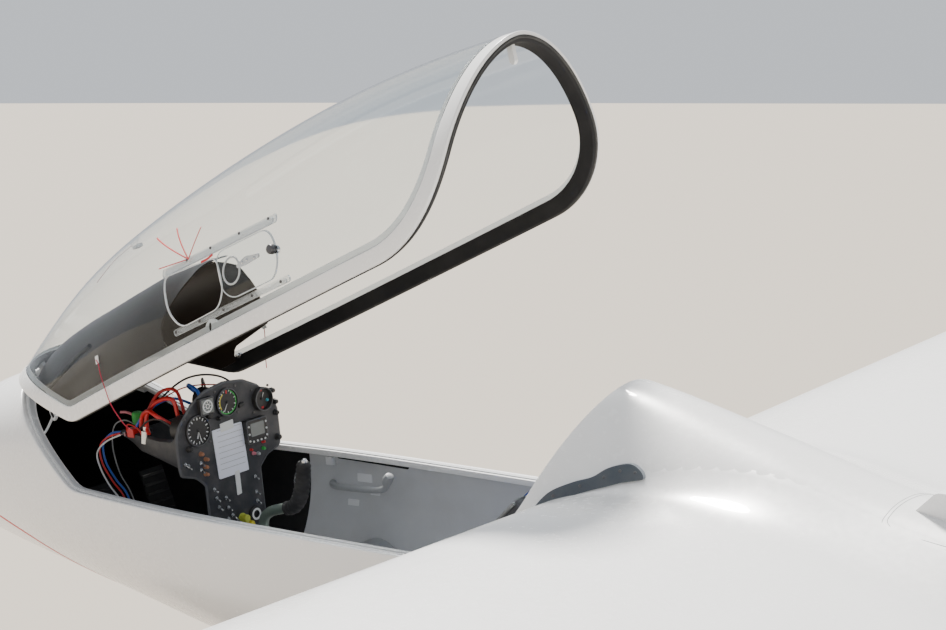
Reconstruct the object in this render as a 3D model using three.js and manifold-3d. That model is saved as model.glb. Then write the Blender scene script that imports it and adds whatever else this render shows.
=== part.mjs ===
// Single-seat aerobatic sailplane with its canopy raised, parked on main wheel, tail wheel and left tip skid.
import * as THREE from "three";
import { mergeVertices } from "three/addons/utils/BufferGeometryUtils.js";
import Module from "manifold-3d";

const wasm = await Module();
wasm.setup();

// The airframe's own axes, in millimetres: x aft of the nose tip, y to starboard, z above the ground with
// the wings level. The whole airframe is then leaned over onto its left wing tip.
const roll = THREE.MathUtils.degToRad(8.2);
const clearance = 5.5;
const seat = 0.3;
const pinSlack = 1;
const shellWall = 8;

// The fuselage's sections: x, half width, top, bottom, widest point's height, fullness of the upper side.
const fuselageTable = [
  [0, 0, 680, 680, 680, 2.12],
  [40, 62, 738, 628, 682, 2.12],
  [150, 126, 828, 580, 690, 2.12],
  [310, 187, 915, 540, 700, 2.12],
  [570, 231, 988, 492, 710, 2.28],
  [860, 267, 1083, 444, 714, 2],
  [1200, 292, 1117, 380, 712, 2.16],
  [1600, 294, 1130, 322, 706, 2.08],
  [1950, 286, 1112, 303, 704, 2.02],
  [2320, 259, 1055, 330, 704, 1.81],
  [2620, 235, 972, 410, 704, 1.88],
  [2900, 205, 893, 497, 704, 2],
  [3260, 160, 826, 576, 704, 2.12],
  [3600, 134, 788, 596, 694, 2.12],
  [4500, 108, 684, 524, 606, 2.12],
  [5500, 84, 574, 440, 508, 2.12],
  [6200, 68, 502, 388, 446, 2.12],
  [6500, 60, 474, 366, 420, 2.12],
];
const lowerFullness = 2.12;
const podEnd = 3260;
const boomEnd = 6500;
const hollowEnd = 2470;

// The canopy's seam in side view: three straight lines through a point, each at a slope in degrees, joined
// by arcs. They are the slanted front, the sill and the leaning rear arch.
const seamLines = [
  { through: [554, 929], slope: -32 },
  { through: [900, 756], slope: -0.75 },
  { through: [2284, 1066], slope: 62.6 },
];
const seamRadii = [90, 262];
const frameBand = 35;
const frameDepth = 22;
const glassDepth = 5;
const lipDepth = 34;
const lipHeight = 14;
const canopyGap = 9;
const canopyHinge = [460, 915];
const canopyOpen = THREE.MathUtils.degToRad(22.5);

// The wing's sections: distance from the centre line, leading edge x, chord, thickness ratio, incidence.
const wingTable = [
  [331, 2200, 950, 0.16, 5.0],
  [1400, 2224, 898, 0.16, 5.0],
  [3600, 2274, 790, 0.155, 4.8],
  [5200, 2310, 580, 0.15, 4.4],
  [6350, 2336, 430, 0.14, 4.0],
  [6500, 2372, 356, 0.13, 4.0],
  [6580, 2430, 236, 0.12, 4.0],
  [6600, 2490, 120, 0.12, 4.0],
];
const wingRootHeight = 832;
// The fillet between wing and fuselage: how far it reaches up and down the fuselage's side and out on the
// wing, and how far it runs aft of the trailing edge.
const fillet = { upPart: 0.7, down: 62, aft: 96, outAbove: 158, outBelow: 98, edge: 2, edgeOut: 8, rows: 5 };
const trailingFan = 3;
const dihedral = THREE.MathUtils.degToRad(1.75);
const aileron = { from: 3900, to: 6300, hingeAt: 0.78 };
const airbrake = { from: 2000, to: 3000, chordAt: 0.5, width: 34, travel: 84, blade: 6 };

// Fin and rudder: height, leading edge x, chord, thickness ratio.
const finTable = [
  [392, 5560, 1280, 0.08],
  [500, 5880, 966, 0.1],
  [900, 6050, 776, 0.11],
  [1330, 6216, 590, 0.12],
  [1420, 6246, 556, 0.12],
];
const rudder = { from: 300, to: 1335, hinge: [[6537, 300], [6595, 1335]], noseLow: 40, noseHigh: 22 };
// The fairing of the tail wheel: x, half width, top, bottom.
const tailFairingTable = [
  [5980, 34, 400, 340],
  [6120, 46, 400, 200],
  [6240, 56, 400, 84],
  [6420, 56, 400, 80],
  [6500, 44, 400, 200],
];
// Tailplane: distance from the centre line, leading edge x, chord, thickness ratio.
const tailTable = [
  [0, 6236, 530, 0.11],
  [900, 6330, 410, 0.11],
  [1340, 6378, 346, 0.1],
  [1405, 6410, 270, 0.09],
  [1420, 6450, 170, 0.08],
];
const tailHeight = 1452;
const elevator = { to: 1320, hingeX: 6628, nose: 13 };

const mainWheel = { x: 1990, radius: 175, section: 60 };
const tailWheel = { x: 6330, radius: 100, section: 26 };
const tipSkid = { y: 6470, x: 2500, halfWidth: 8, halfLength: 95 };
const mainLean = (mainWheel.radius - mainWheel.section) * Math.cos(roll) + mainWheel.section;
const tailLean = (tailWheel.radius - tailWheel.section) * Math.cos(roll) + tailWheel.section;
mainWheel.z = mainWheel.radius;
tailWheel.z = mainWheel.z + (tailLean - mainLean) / Math.cos(roll);
tipSkid.bottom =
  mainWheel.z + ((tipSkid.y + tipSkid.halfWidth) * Math.sin(roll) - mainLean) / Math.cos(roll);

const finishes = {
  gelcoat: { color: 0xf1f2f0, roughness: 0.2, metalness: 0 },
  rubber: { color: 0x18191a, roughness: 0.85, metalness: 0 },
  black: { color: 0x1b1c1e, roughness: 0.6, metalness: 0 },
  panel: { color: 0x2e3035, roughness: 0.65, metalness: 0 },
  lining: { color: 0xb9bcbd, roughness: 0.8, metalness: 0 },
  strake: { color: 0x5b6067, roughness: 0.5, metalness: 0.2 },
  steel: { color: 0x9ea3a6, roughness: 0.35, metalness: 0.9 },
  stick: { color: 0x6f7d72, roughness: 0.5, metalness: 0.2 },
  glass: { color: 0x9fb0b8, roughness: 0.05, metalness: 0, transparent: true, opacity: 0.3 },
  cushion: { color: 0x3a3d42, roughness: 0.95, metalness: 0 },
  strap: { color: 0x1f4fa8, roughness: 0.9, metalness: 0 },
  red: { color: 0xb01822, roughness: 0.6, metalness: 0 },
  paper: { color: 0xeceff2, roughness: 0.9, metalness: 0 },
  yellow: { color: 0xd8c02c, roughness: 0.5, metalness: 0 },
};

const airframe = new THREE.Group();
airframe.rotation.x = roll;
const canopy = new THREE.Group();
canopy.position.set(canopyHinge[0], 0, canopyHinge[1]);
canopy.rotation.y = -canopyOpen;
airframe.add(canopy);
const closedCanopy = new THREE.Group();
closedCanopy.position.set(-canopyHinge[0], 0, -canopyHinge[1]);
canopy.add(closedCanopy);

// Turns a closed three.js geometry into a manifold-3d solid, with its faces out.
function solid(geometry) {
  const bare = geometry.clone();
  bare.deleteAttribute("normal");
  bare.deleteAttribute("uv");
  const merged = mergeVertices(bare, 1e-3);
  const make = (triVerts) =>
    new wasm.Manifold(
      new wasm.Mesh({ numProp: 3, vertProperties: merged.attributes.position.array, triVerts }),
    );
  const made = make(new Uint32Array(merged.index.array));
  return made.volume() > 0 ? made : make(new Uint32Array(merged.index.array).reverse());
}

function add(name, shape, finish, parent = airframe) {
  const result = shape.getMesh();
  const geometry = new THREE.BufferGeometry();
  geometry.setAttribute("position", new THREE.BufferAttribute(result.vertProperties, 3));
  geometry.setIndex(new THREE.BufferAttribute(result.triVerts, 1));
  geometry.computeVertexNormals();
  const mesh = new THREE.Mesh(geometry, new THREE.MeshStandardMaterial(finishes[finish]));
  mesh.name = name;
  parent.add(mesh);
  return shape;
}

function box(x0, x1, y0, y1, z0, z1) {
  const geometry = new THREE.BoxGeometry(x1 - x0, y1 - y0, z1 - z0);
  return solid(geometry.translate((x0 + x1) / 2, (y0 + y1) / 2, (z0 + z1) / 2));
}

// A cylinder, or a cone with two radii, between two points.
function rod(from, to, radius, endRadius = radius, segments = 16) {
  const a = new THREE.Vector3(...from);
  const b = new THREE.Vector3(...to);
  const geometry = new THREE.CylinderGeometry(endRadius, radius, a.distanceTo(b), segments);
  const turn = new THREE.Quaternion().setFromUnitVectors(
    new THREE.Vector3(0, 1, 0),
    b.clone().sub(a).normalize(),
  );
  geometry.applyQuaternion(turn);
  const middle = a.add(b).multiplyScalar(0.5);
  return solid(geometry.translate(middle.x, middle.y, middle.z));
}

// A round tube of solid section along a smooth path.
function cane(points, radius, steps = 8) {
  const path = new THREE.CatmullRomCurve3(points.map((p) => new THREE.Vector3(...p)));
  const circle = new THREE.Shape().absarc(0, 0, radius, 0, 2 * Math.PI);
  const settings = { steps, extrudePath: path, curveSegments: 5, bevelEnabled: false };
  return solid(new THREE.ExtrudeGeometry(circle, settings));
}

// A ring turned about an axis through `centre` along y; the profile is a list of [radius, y].
function turnedAboutY(profile, centre, segments = 40) {
  const points = profile.map(([r, y]) => new THREE.Vector2(r, y));
  const geometry = new THREE.LatheGeometry(points, segments);
  return solid(geometry.translate(...centre));
}

// A side-view outline of [x, z] points, made solid from y0 to y1.
function sideSlab(points, y0, y1) {
  const shape = new THREE.Shape(points.map(([x, z]) => new THREE.Vector2(x, z)));
  const geometry = new THREE.ExtrudeGeometry(shape, { depth: y1 - y0, bevelEnabled: false });
  return solid(geometry.rotateX(Math.PI / 2).translate(0, y1, 0));
}

// A front-view outline of [y, z] points, made solid from x0 to x1.
function frontSlab(points, x0, x1) {
  const shape = new THREE.Shape(points.map(([y, z]) => new THREE.Vector2(y, z)));
  const geometry = new THREE.ExtrudeGeometry(shape, { depth: x1 - x0, bevelEnabled: false });
  geometry.rotateX(Math.PI / 2).rotateZ(Math.PI / 2);
  return solid(geometry.translate(x0, 0, 0));
}

// A solid through rings of equally many points. Point i of a ring and its mirror point close the end caps.
function loft(rings) {
  const count = rings[0].length;
  const positions = rings.flat(2);
  const index = [];
  const quad = (a, b, c, d) => index.push(a, b, c, a, c, d);
  for (let r = 0; r < rings.length - 1; r += 1) {
    for (let i = 0; i < count; i += 1) {
      const j = (i + 1) % count;
      quad(r * count + i, r * count + j, (r + 1) * count + j, (r + 1) * count + i);
    }
  }
  const last = (rings.length - 1) * count;
  for (let i = 0; i < count / 2 - 1; i += 1) {
    const mirror = count - 1 - i;
    quad(i, mirror, mirror - 1, i + 1);
    quad(last + i, last + i + 1, last + mirror - 1, last + mirror);
  }
  const geometry = new THREE.BufferGeometry();
  geometry.setAttribute("position", new THREE.Float32BufferAttribute(positions, 3));
  geometry.setIndex(index);
  return solid(geometry);
}

// Smooth values between the rows of a table, by Hermite curves over the square root of x.
function between(table, x) {
  const key = (row) => Math.sqrt(row[0]);
  const s = Math.sqrt(x);
  let i = 0;
  while (i < table.length - 2 && s > key(table[i + 1])) i += 1;
  const width = key(table[i + 1]) - key(table[i]);
  const t = (s - key(table[i])) / width;
  const slope = (row, column) => {
    const before = table[Math.max(row - 1, 0)];
    const after = table[Math.min(row + 1, table.length - 1)];
    return (after[column] - before[column]) / (key(after) - key(before));
  };
  return table[i].map((value, column) => {
    const next = table[i + 1][column];
    const a = slope(i, column) * width;
    const b = slope(i + 1, column) * width;
    const rise = next - value;
    return value + a * t + (3 * rise - 2 * a - b) * t * t + (a + b - 2 * rise) * t * t * t;
  });
}

function fuselageRing(x, inset, count = 32) {
  const [, halfWidth, top, bottom, widest, upperFullness] = between(fuselageTable, x);
  const ring = [];
  for (let i = 0; i < count; i += 1) {
    const angle = ((i + 0.5) / count) * 2 * Math.PI;
    const across = Math.cos(angle);
    const up = Math.sin(angle);
    const power = 2 / (up > 0 ? upperFullness : lowerFullness);
    const reach = (up > 0 ? top - widest : widest - bottom) - inset;
    const y = (halfWidth - inset) * Math.sign(across) * Math.abs(across) ** power;
    const z = widest + reach * Math.sign(up) * Math.abs(up) ** power;
    ring.push([x, y, z]);
  }
  return ring;
}

// Half the fuselage's width at a height.
function skinAt(x, z, inset = 0) {
  const [, halfWidth, top, bottom, widest, upperFullness] = between(fuselageTable, x);
  const fullness = z > widest ? upperFullness : lowerFullness;
  const reach = (z > widest ? top - widest : widest - bottom) - inset;
  const part = Math.min(Math.abs(z - widest) / reach, 1);
  return (halfWidth - inset) * (1 - part ** fullness) ** (1 / fullness);
}

// The fuselage's skin moved inward by `inset`, between two stations.
function skin(inset, from, to, rings = 21) {
  const places = [];
  for (let i = 0; i <= rings; i += 1) {
    const s = THREE.MathUtils.lerp(Math.sqrt(from), Math.sqrt(to), i / rings);
    places.push(s * s);
  }
  return loft(places.map((x) => fuselageRing(x, inset)));
}

// The space above the canopy's seam in side view, with the seam moved inward by `offset`.
function aboveSeam(offset, halfWidth = 420) {
  const lines = seamLines.map(({ through, slope }) => {
    const angle = THREE.MathUtils.degToRad(slope);
    return { through, angle, along: [Math.cos(angle), Math.sin(angle)] };
  });
  const shifted = (line, by) => [
    line.through[0] - by * line.along[1],
    line.through[1] + by * line.along[0],
  ];
  const points = [];
  seamRadii.forEach((radius, corner) => {
    const [before, after] = [lines[corner], lines[corner + 1]];
    const a = shifted(before, radius);
    const b = shifted(after, radius);
    const turn = before.along[0] * after.along[1] - before.along[1] * after.along[0];
    const run = ((b[0] - a[0]) * after.along[1] - (b[1] - a[1]) * after.along[0]) / turn;
    const centre = [a[0] + run * before.along[0], a[1] + run * before.along[1]];
    for (let i = 0; i <= 8; i += 1) {
      const angle = THREE.MathUtils.lerp(before.angle, after.angle, i / 8) - Math.PI / 2;
      const reach = radius - offset;
      points.push([centre[0] + reach * Math.cos(angle), centre[1] + reach * Math.sin(angle)]);
    }
  });
  const high = 1300;
  const [first, last] = [points[0], points.at(-1)];
  points.push([last[0] + (high - last[1]) / Math.tan(lines[2].angle), high]);
  points.push([first[0] + (high - first[1]) / Math.tan(lines[0].angle), high]);
  return sideSlab(points, -halfWidth, halfWidth);
}

// A cambered section of unit chord as [x, z] points, from the trailing edge over the top and back below.
// The blunt trailing edge has `fan` points above and below its middle.
function airfoil(thickness, camber, fan = 0, count = 12) {
  const half = (x) =>
    thickness *
      5 *
      (0.2969 * Math.sqrt(x) - 0.126 * x - 0.3516 * x * x + 0.2843 * x ** 3 - 0.1036 * x ** 4) +
    0.002 * x;
  const middle = (x) => 4 * camber * x * (1 - x);
  const upper = [];
  const lower = [];
  for (let i = 0; i < fan; i += 1) {
    const z = (half(1) * (i + 0.5)) / (fan + 0.5);
    upper.push([1, z]);
    lower.unshift([1, -z]);
  }
  for (let i = 0; i < count; i += 1) {
    const x = (1 + Math.cos((Math.PI * i) / (count - 0.6))) / 2;
    upper.push([x, middle(x) + half(x)]);
    lower.unshift([x, middle(x) - half(x)]);
  }
  return [...upper, ...lower];
}

function wingRing([y, leading, chord, thickness, incidence], side) {
  const pitch = THREE.MathUtils.degToRad(incidence);
  const z = wingRootHeight + (y - wingTable[0][0]) * Math.tan(dihedral);
  return airfoil(thickness, 0.02, trailingFan).map(([u, v]) => [
    leading + chord * (u * Math.cos(pitch) + v * Math.sin(pitch)),
    side * y,
    z + chord * (v * Math.cos(pitch) - u * Math.sin(pitch)),
  ]);
}

// The wing table's values at a distance from the centre line, straight between its rows.
function wingAt(y) {
  const i = wingTable.findIndex((row) => row[0] >= y);
  if (i === 0) return [y, ...wingTable[0].slice(1)];
  const [a, b] = [wingTable[i - 1], wingTable[i]];
  return a.map((value, column) => THREE.MathUtils.lerp(value, b[column], (y - a[0]) / (b[0] - a[0])));
}

// A point on the wing's middle line at a part of the chord, with half the thickness there.
function wingPoint(y, part, side) {
  const ring = wingRing(wingAt(y), side);
  const x = ring[0][0] + (1 - part) * (ring[ring.length / 2][0] - ring[0][0]);
  const height = (points) => {
    const i = points.findIndex((p) => p[0] <= x);
    const [a, b] = [points[i - 1], points[i]];
    return THREE.MathUtils.lerp(a[2], b[2], (x - a[0]) / (b[0] - a[0]));
  };
  const upper = height(ring.slice(0, ring.length / 2));
  const lower = height(ring.slice(ring.length / 2).reverse());
  return { at: [x, side * y, (upper + lower) / 2], half: (upper - lower) / 2 };
}

function alongLine(a, b, distance) {
  const from = new THREE.Vector3(...a);
  const to = new THREE.Vector3(...b);
  return from.addScaledVector(to.sub(from).normalize(), distance).toArray();
}

// A hinge pin and the bore that it turns in, which is a little wider and deeper at both ends.
function pinAndBore(from, to) {
  const pin = rod(from, to, 4, 4, 12);
  return { pin, bore: rod(alongLine(from, to, -pinSlack), alongLine(to, from, -pinSlack), 4.5, 4.5, 12) };
}

// The largest of the separate bodies of a cut solid, and the one that reaches lowest.
function largest(shape) {
  return shape.decompose().sort((a, b) => b.volume() - a.volume())[0];
}

function lowest(shape) {
  return shape.decompose().sort((a, b) => a.boundingBox().min[2] - b.boundingBox().min[2])[0];
}

// Both sides of the aircraft, for pieces that come in a mirrored pair.
const sides = [
  [-1, "left"],
  [1, "right"],
];

// The two y values of a mirrored piece, from its distances off the centre line.
function onSide(side, near, far) {
  return side < 0 ? [-far, -near] : [near, far];
}

// Rings of the root fillet, from inside the fuselage out to the wing. Every point of the wing's section has
// a foot on the fuselage's skin, at a distance straight out from the section and none at the leading edge,
// and a shoulder on the wing. A smooth curve joins the two, tangent to both.
function filletRings(side) {
  const root = wingRing(wingTable[0], side);
  const half = root.length / 2;
  const rear = root[0][0];
  const front = Math.min(...root.map(([x]) => x));
  const soft = (t) => {
    const s = THREE.MathUtils.clamp(t, 0, 1);
    return s * s * (3 - 2 * s);
  };
  const feet = [];
  const shoulders = [];
  root.forEach(([x, , z], i) => {
    const above = i < half;
    const fan = above ? trailingFan - i : i - (root.length - 1 - trailingFan);
    const before = root[Math.max(i - 1, 0)];
    const after = root[Math.min(i + 1, root.length - 1)];
    let out = new THREE.Vector2(after[2] - before[2], before[0] - after[0]).normalize();
    if (fan > 0) {
      const angle = ((trailingFan - fan + 0.5) / (trailingFan + 0.5)) * (Math.PI / 2);
      out = new THREE.Vector2(Math.cos(angle), (above ? 1 : -1) * Math.sin(angle));
    }
    const along = (x - front) / (rear - front);
    const turned = fan > 0 ? out.x ** 2 : 0;
    const [, , top] = between(fuselageTable, x);
    const raise = fillet.upPart * (top - z) * soft((along - 0.05) / 0.5);
    const upDown = above ? raise : fillet.down * soft(along / 0.6);
    const reach = fillet.edge + THREE.MathUtils.lerp(upDown, fillet.aft, turned);
    const width = above ? fillet.outAbove * soft((along - 0.03) / 0.6) : fillet.outBelow * soft(along / 0.6);
    const middle = (fillet.outAbove + fillet.outBelow) / 2;
    const shoulderY = skinAt(x, z) + fillet.edgeOut + THREE.MathUtils.lerp(width, middle, turned);
    feet.push({ x: x + out.x * reach, z: z + out.y * reach, out });
    shoulders.push(shoulderY);
  });
  const onSkin = (x, z, inset) => new THREE.Vector3(x, side * skinAt(x, z, inset), z);
  const curves = feet.map(({ x, z, out }, i) => {
    const foot = onSkin(x, z, -1.5);
    const away = onSkin(x + out.x, z + out.y, 0).sub(onSkin(x - out.x, z - out.y, 0)).normalize();
    const at = (y) => new THREE.Vector3(...wingRing(wingAt(y), side)[i]);
    const shoulder = at(shoulders[i]);
    const inward = at(shoulders[i] - 5).sub(shoulder).normalize();
    const pull = 1.25 * foot.distanceTo(shoulder);
    const points = [];
    for (let k = 0; k <= fillet.rows; k += 1) {
      const t = 1 - k / fillet.rows;
      const point = shoulder.clone().multiplyScalar(2 * t ** 3 - 3 * t ** 2 + 1);
      point.addScaledVector(inward, (t ** 3 - 2 * t ** 2 + t) * pull);
      point.addScaledVector(foot, 3 * t ** 2 - 2 * t ** 3);
      points.push(point.addScaledVector(away, (t ** 3 - t ** 2) * pull).toArray());
    }
    return [onSkin(x, z, 14).toArray(), ...points];
  });
  const core = wingRing(wingAt(120), side);
  return [core, ...curves[0].map((_, k) => curves.map((curve) => curve[k]))];
}

// Fuselage pod: a hollow shell with the cockpit opening, its lip, the wing root stubs and the wheel well.
const well = { from: 1812, to: 2196, halfWidth: 84, top: 505, wall: 6 };
const wellBlock = (grow, low) =>
  box(
    well.from - grow, well.to + grow, -well.halfWidth - grow, well.halfWidth + grow,
    low, well.top + grow,
  );
const outer = skin(0, 3, podEnd);
const hollow = skin(shellWall, 150, hollowEnd);
const opening = aboveSeam(-canopyGap);
const lipBand = aboveSeam(-canopyGap - lipHeight).subtract(opening);
const hingeNotches = sides.map(([side]) => box(477, 590, ...onSide(side, 60, 80), 870, 970));
const lip = skin(shellWall - 2, 150, hollowEnd)
  .subtract(skin(lipDepth, 150, hollowEnd))
  .intersect(lipBand);
const hingePlates = sides.map(([side]) => box(441, 479, ...onSide(side, 84, 92), 898, 970));
const wingRows = [wingAt(460), ...wingTable.slice(1)];
const wholeWings = sides.map(([side]) => {
  const rings = wingRows.map((row) => wingRing(row, side));
  return loft([...filletRings(side), ...rings]);
});
const jointY = wingTable[0][0];
const rootStubs = wholeWings.map((whole) => {
  return whole.intersect(box(1900, 3400, seat - jointY, jointY - seat, 500, 1200));
});
const wellWalls = wellBlock(well.wall, 310);
const pod = outer
  .add(rootStubs[0])
  .add(rootStubs[1])
  .subtract(hollow)
  .add(lip)
  .add(hingePlates[0].add(hingePlates[1]).intersect(skin(3, 300, 700)))
  .add(wellWalls.intersect(skin(3, 150, 2800)))
  .subtract(opening)
  .subtract(hingeNotches[0])
  .subtract(hingeNotches[1])
  .subtract(wellBlock(0, 200))
  .subtract(rod([canopyHinge[0], -94, canopyHinge[1]], [canopyHinge[0], 94, canopyHinge[1]], 7.4));
add("fuselage_pod", pod, "gelcoat");
const podBelow = pod.translate([0, 0, -seat]);
const podAbove = pod.translate([0, 0, seat]);

// Grey strakes over the wing root joint, lying on the fuselage's shoulders.
const strakeOutline = [
  [2220, 852], [2248, 888], [2294, 909], [2336, 921], [2366, 938], [2406, 946], [2432, 937], [2445, 925],
  [2439, 921], [2416, 919], [2387, 911], [2315, 891], [2268, 870],
];
for (const [side, name] of sides) {
  const sheet = skin(-7, 1900, 2900).subtract(skin(-seat, 1890, 2910));
  const strake = sheet.intersect(sideSlab(strakeOutline, ...onSide(side, 100, 400))).subtract(podAbove);
  add(`root_strake_${name}`, largest(strake.subtract(pod)), "strake");
}

// The scoop on top of the boom, and the tow hook under the nose.
const scoopOutline = [[2930, 872], [2990, 918], [3060, 916], [3060, 850], [2930, 850]];
add("air_outlet", largest(sideSlab(scoopOutline, -34, 34).subtract(podAbove)), "gelcoat");
const hookOutline = [[955, 460], [955, 404], [985, 380], [1040, 380], [1052, 396], [1052, 460]];
add("tow_hook", largest(sideSlab(hookOutline, -14, 14).subtract(podBelow.add(hollow))), "black");

// Main wheel: cross tube and legs in the well, axle, rim, tyre and the two open doors.
const legOutline = [[1975, 160], [2005, 160], [2122, 436], [2090, 452], [2078, 440], [1975, 190]];
const legs = sides
  .map(([side]) => sideSlab(legOutline, ...onSide(side, 64, 72)))
  .reduce((a, b) => a.add(b));
const crossTube = rod([2100, -well.halfWidth + seat, 430], [2100, well.halfWidth - seat, 430], 15, 15, 24);
const axleEnds = [[mainWheel.x, -78, mainWheel.z], [mainWheel.x, 78, mainWheel.z]];
add("gear_legs", legs.add(crossTube).subtract(rod(...axleEnds, 9.3, 9.3)), "steel");
add("main_axle", rod(...axleEnds, 9, 9), "steel");
const rimProfile = [
  [9.5, -36], [28, -36], [28, -6], [84, -6], [84, -50], [100, -50], [100, 50], [84, 50], [84, 6],
  [28, 6], [28, 36], [9.5, 36], [9.5, -36],
];
const mainCentre = [mainWheel.x, 0, mainWheel.z];
add("main_rim", turnedAboutY(rimProfile, mainCentre, 32), "steel");
const tyreProfile = (wheel, rimRadius, steps) => {
  const middle = wheel.radius - wheel.section;
  const start = Math.acos((rimRadius - middle) / wheel.section);
  const points = [];
  for (let i = 0; i <= steps; i += 1) {
    const angle = THREE.MathUtils.lerp(-start, start, i / steps);
    points.push([middle + wheel.section * Math.cos(angle), wheel.section * Math.sin(angle)]);
  }
  return [...points, points[0]];
};
add("main_tyre", turnedAboutY(tyreProfile(mainWheel, 100.3, 12), mainCentre, 32), "rubber");
for (const [side, name] of sides) {
  const flat = [[88, 340], [94, 340], [112, 196], [106, 196]].map(([y, z]) => [side * y, z]);
  const door = frontSlab(flat, 1822, 2186).subtract(podBelow.add(wellWalls).add(hollow));
  add(`gear_door_${name}`, lowest(door), "gelcoat");
}

// Tail boom and fin, with the fairing of the tail wheel and the pins that carry the rudder.
function finRing([z, leading, chord, thickness]) {
  return airfoil(thickness, 0).map(([u, v]) => [leading + chord * u, chord * v, z]);
}

function fairingRing([x, halfWidth, top, bottom]) {
  const ring = [];
  for (let i = 0; i < 20; i += 1) {
    const angle = ((i + 0.5) / 20) * 2 * Math.PI;
    const [across, up] = [Math.cos(angle), Math.sin(angle)];
    const height = (top + bottom) / 2 + ((top - bottom) / 2) * Math.sign(up) * Math.sqrt(Math.abs(up));
    ring.push([x, halfWidth * Math.sign(across) * Math.sqrt(Math.abs(across)), height]);
  }
  return ring;
}

// The rudder's share of the tail, its rounded nose wider by `gap`.
function rudderSpace(gap, bottom, top) {
  const [low, high] = rudder.hinge;
  const part = (z) => (z - low[1]) / (high[1] - low[1]);
  const at = (z) => THREE.MathUtils.lerp(low[0], high[0], part(z));
  const nose = (z) => THREE.MathUtils.lerp(rudder.noseLow, rudder.noseHigh, part(z)) + gap;
  const outline = [[at(bottom), bottom], [7000, bottom], [7000, top], [at(top), top]];
  const round = rod([at(bottom), 0, bottom], [at(top), 0, top], nose(bottom), nose(top), 28);
  return sideSlab(outline, -100, 100).add(round);
}

const tailSlot = box(tailWheel.x - 108, tailWheel.x + 108, -34, 34, 40, 214);
const boomStations = [podEnd + seat, 3400, 3600, 4000, 4500, 5000, 5500, 5900, 6200, boomEnd];
const finWhole = loft([[262, 6240, 600, 0.12], ...finTable].map(finRing));
const lowPin = pinAndBore([6536, 0, 284], [6538, 0, 316]);
const highPin = pinAndBore([6594.6, 0, 1324], [6596, 0, 1350]);
const rudderFoot = box(6440, 6566, -20, 20, 266, 290);
const tailWhole = loft(boomStations.map((x) => fuselageRing(x, 0, 32)))
  .add(loft(tailFairingTable.map(fairingRing)))
  .add(finWhole)
  .subtract(rudderSpace(clearance, rudder.from - 10, rudder.to + clearance))
  .subtract(box(6612, 7200, -100, 100, 200, 1500))
  .add(rudderFoot)
  .subtract(tailSlot)
  .subtract(rod([tailWheel.x, -80, tailWheel.z], [tailWheel.x, 80, tailWheel.z], 6.3))
  .add(lowPin.pin)
  .add(highPin.pin);
const finFoot = [[5700, 470], [5880, 500], [6300, 492], [6500, 474], [7000, 474]];
const aboveBoom = sideSlab([...finFoot, [7000, 1600], [5700, 1600]], -120, 120);
add("tail_boom", tailWhole.subtract(aboveBoom), "gelcoat");
const tailCentre = [tailWheel.x, 0, tailWheel.z];
add("tail_axle", rod([tailWheel.x, -50, tailWheel.z], [tailWheel.x, 50, tailWheel.z], 6), "steel");
const tailRim = [[6.4, -24], [50, -24], [50, 24], [6.4, 24], [6.4, -24]];
add("tail_rim", turnedAboutY(tailRim, tailCentre, 24), "steel");
add("tail_tyre", turnedAboutY(tyreProfile(tailWheel, 50.3, 8), tailCentre, 24), "rubber");
const finPart = tailWhole.intersect(aboveBoom.translate([0, 0, seat]));
add("fin", finPart, "gelcoat");
const rudderPart = finWhole
  .intersect(rudderSpace(0, rudder.from, rudder.to))
  .subtract(lowPin.bore)
  .subtract(highPin.bore);
add("rudder", rudderPart, "gelcoat");

// Tailplane on top of the fin, with the elevator in one piece between its tips.
function tailRing([y, leading, chord, thickness], side) {
  return airfoil(thickness, 0).map(([u, v]) => [leading + chord * u, side * y, tailHeight + chord * v]);
}

function elevatorSpace(gap, end) {
  const nose = elevator.nose + gap;
  const line = [-end, end].map((y) => [elevator.hingeX, y, tailHeight]);
  return box(elevator.hingeX, 7200, -end, end, 1300, 1600).add(rod(...line, nose, nose, 28));
}

const tailplane = loft([
  ...tailTable.slice(1).reverse().map((row) => tailRing(row, -1)),
  ...tailTable.map((row) => tailRing(row, 1)),
]);
const elevatorPins = [-1, 1].map((side) =>
  pinAndBore(
    [elevator.hingeX, side * (elevator.to - 14), tailHeight],
    [elevator.hingeX, side * (elevator.to + 12), tailHeight],
  ),
);
const stabilizer = tailplane
  .subtract(elevatorSpace(clearance + 1, elevator.to + clearance))
  .add(elevatorPins[0].pin)
  .add(elevatorPins[1].pin)
  .add(box(6300, 6560, -22, 22, finTable.at(-1)[0] + seat, tailHeight));
add("stabilizer", stabilizer, "gelcoat");
const elevatorPart = tailplane
  .intersect(elevatorSpace(0, elevator.to))
  .subtract(elevatorPins[0].bore)
  .subtract(elevatorPins[1].bore);
add("elevator", elevatorPart, "gelcoat");
const probe = cane([[6290, 0, 1180], [6180, 0, 1180], [6020, 0, 1186]], 5, 4).subtract(finPart);
add("energy_probe", largest(probe), "steel");

// Wings, with ailerons on rounded noses, upper airbrakes in their boxes and skids under the tips.
// The aileron's share of the wing: a box from its hinge line back, and a round nose of `share` of the
// section's half thickness plus `gap`.
function aileronSpace(share, gap, side, from, to) {
  const [a, b] = [from, to].map((y) => wingPoint(y, aileron.hingeAt, side));
  const [reach, high] = [700, 400];
  const back = ({ at: [x, y, z] }) => [
    [x, y, z - high],
    [x + reach, y, z - high],
    [x + reach, y, z + high],
    [x, y, z + high],
  ];
  return loft([back(a), back(b)]).add(rod(a.at, b.at, a.half * share + gap, b.half * share + gap, 24));
}

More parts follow.
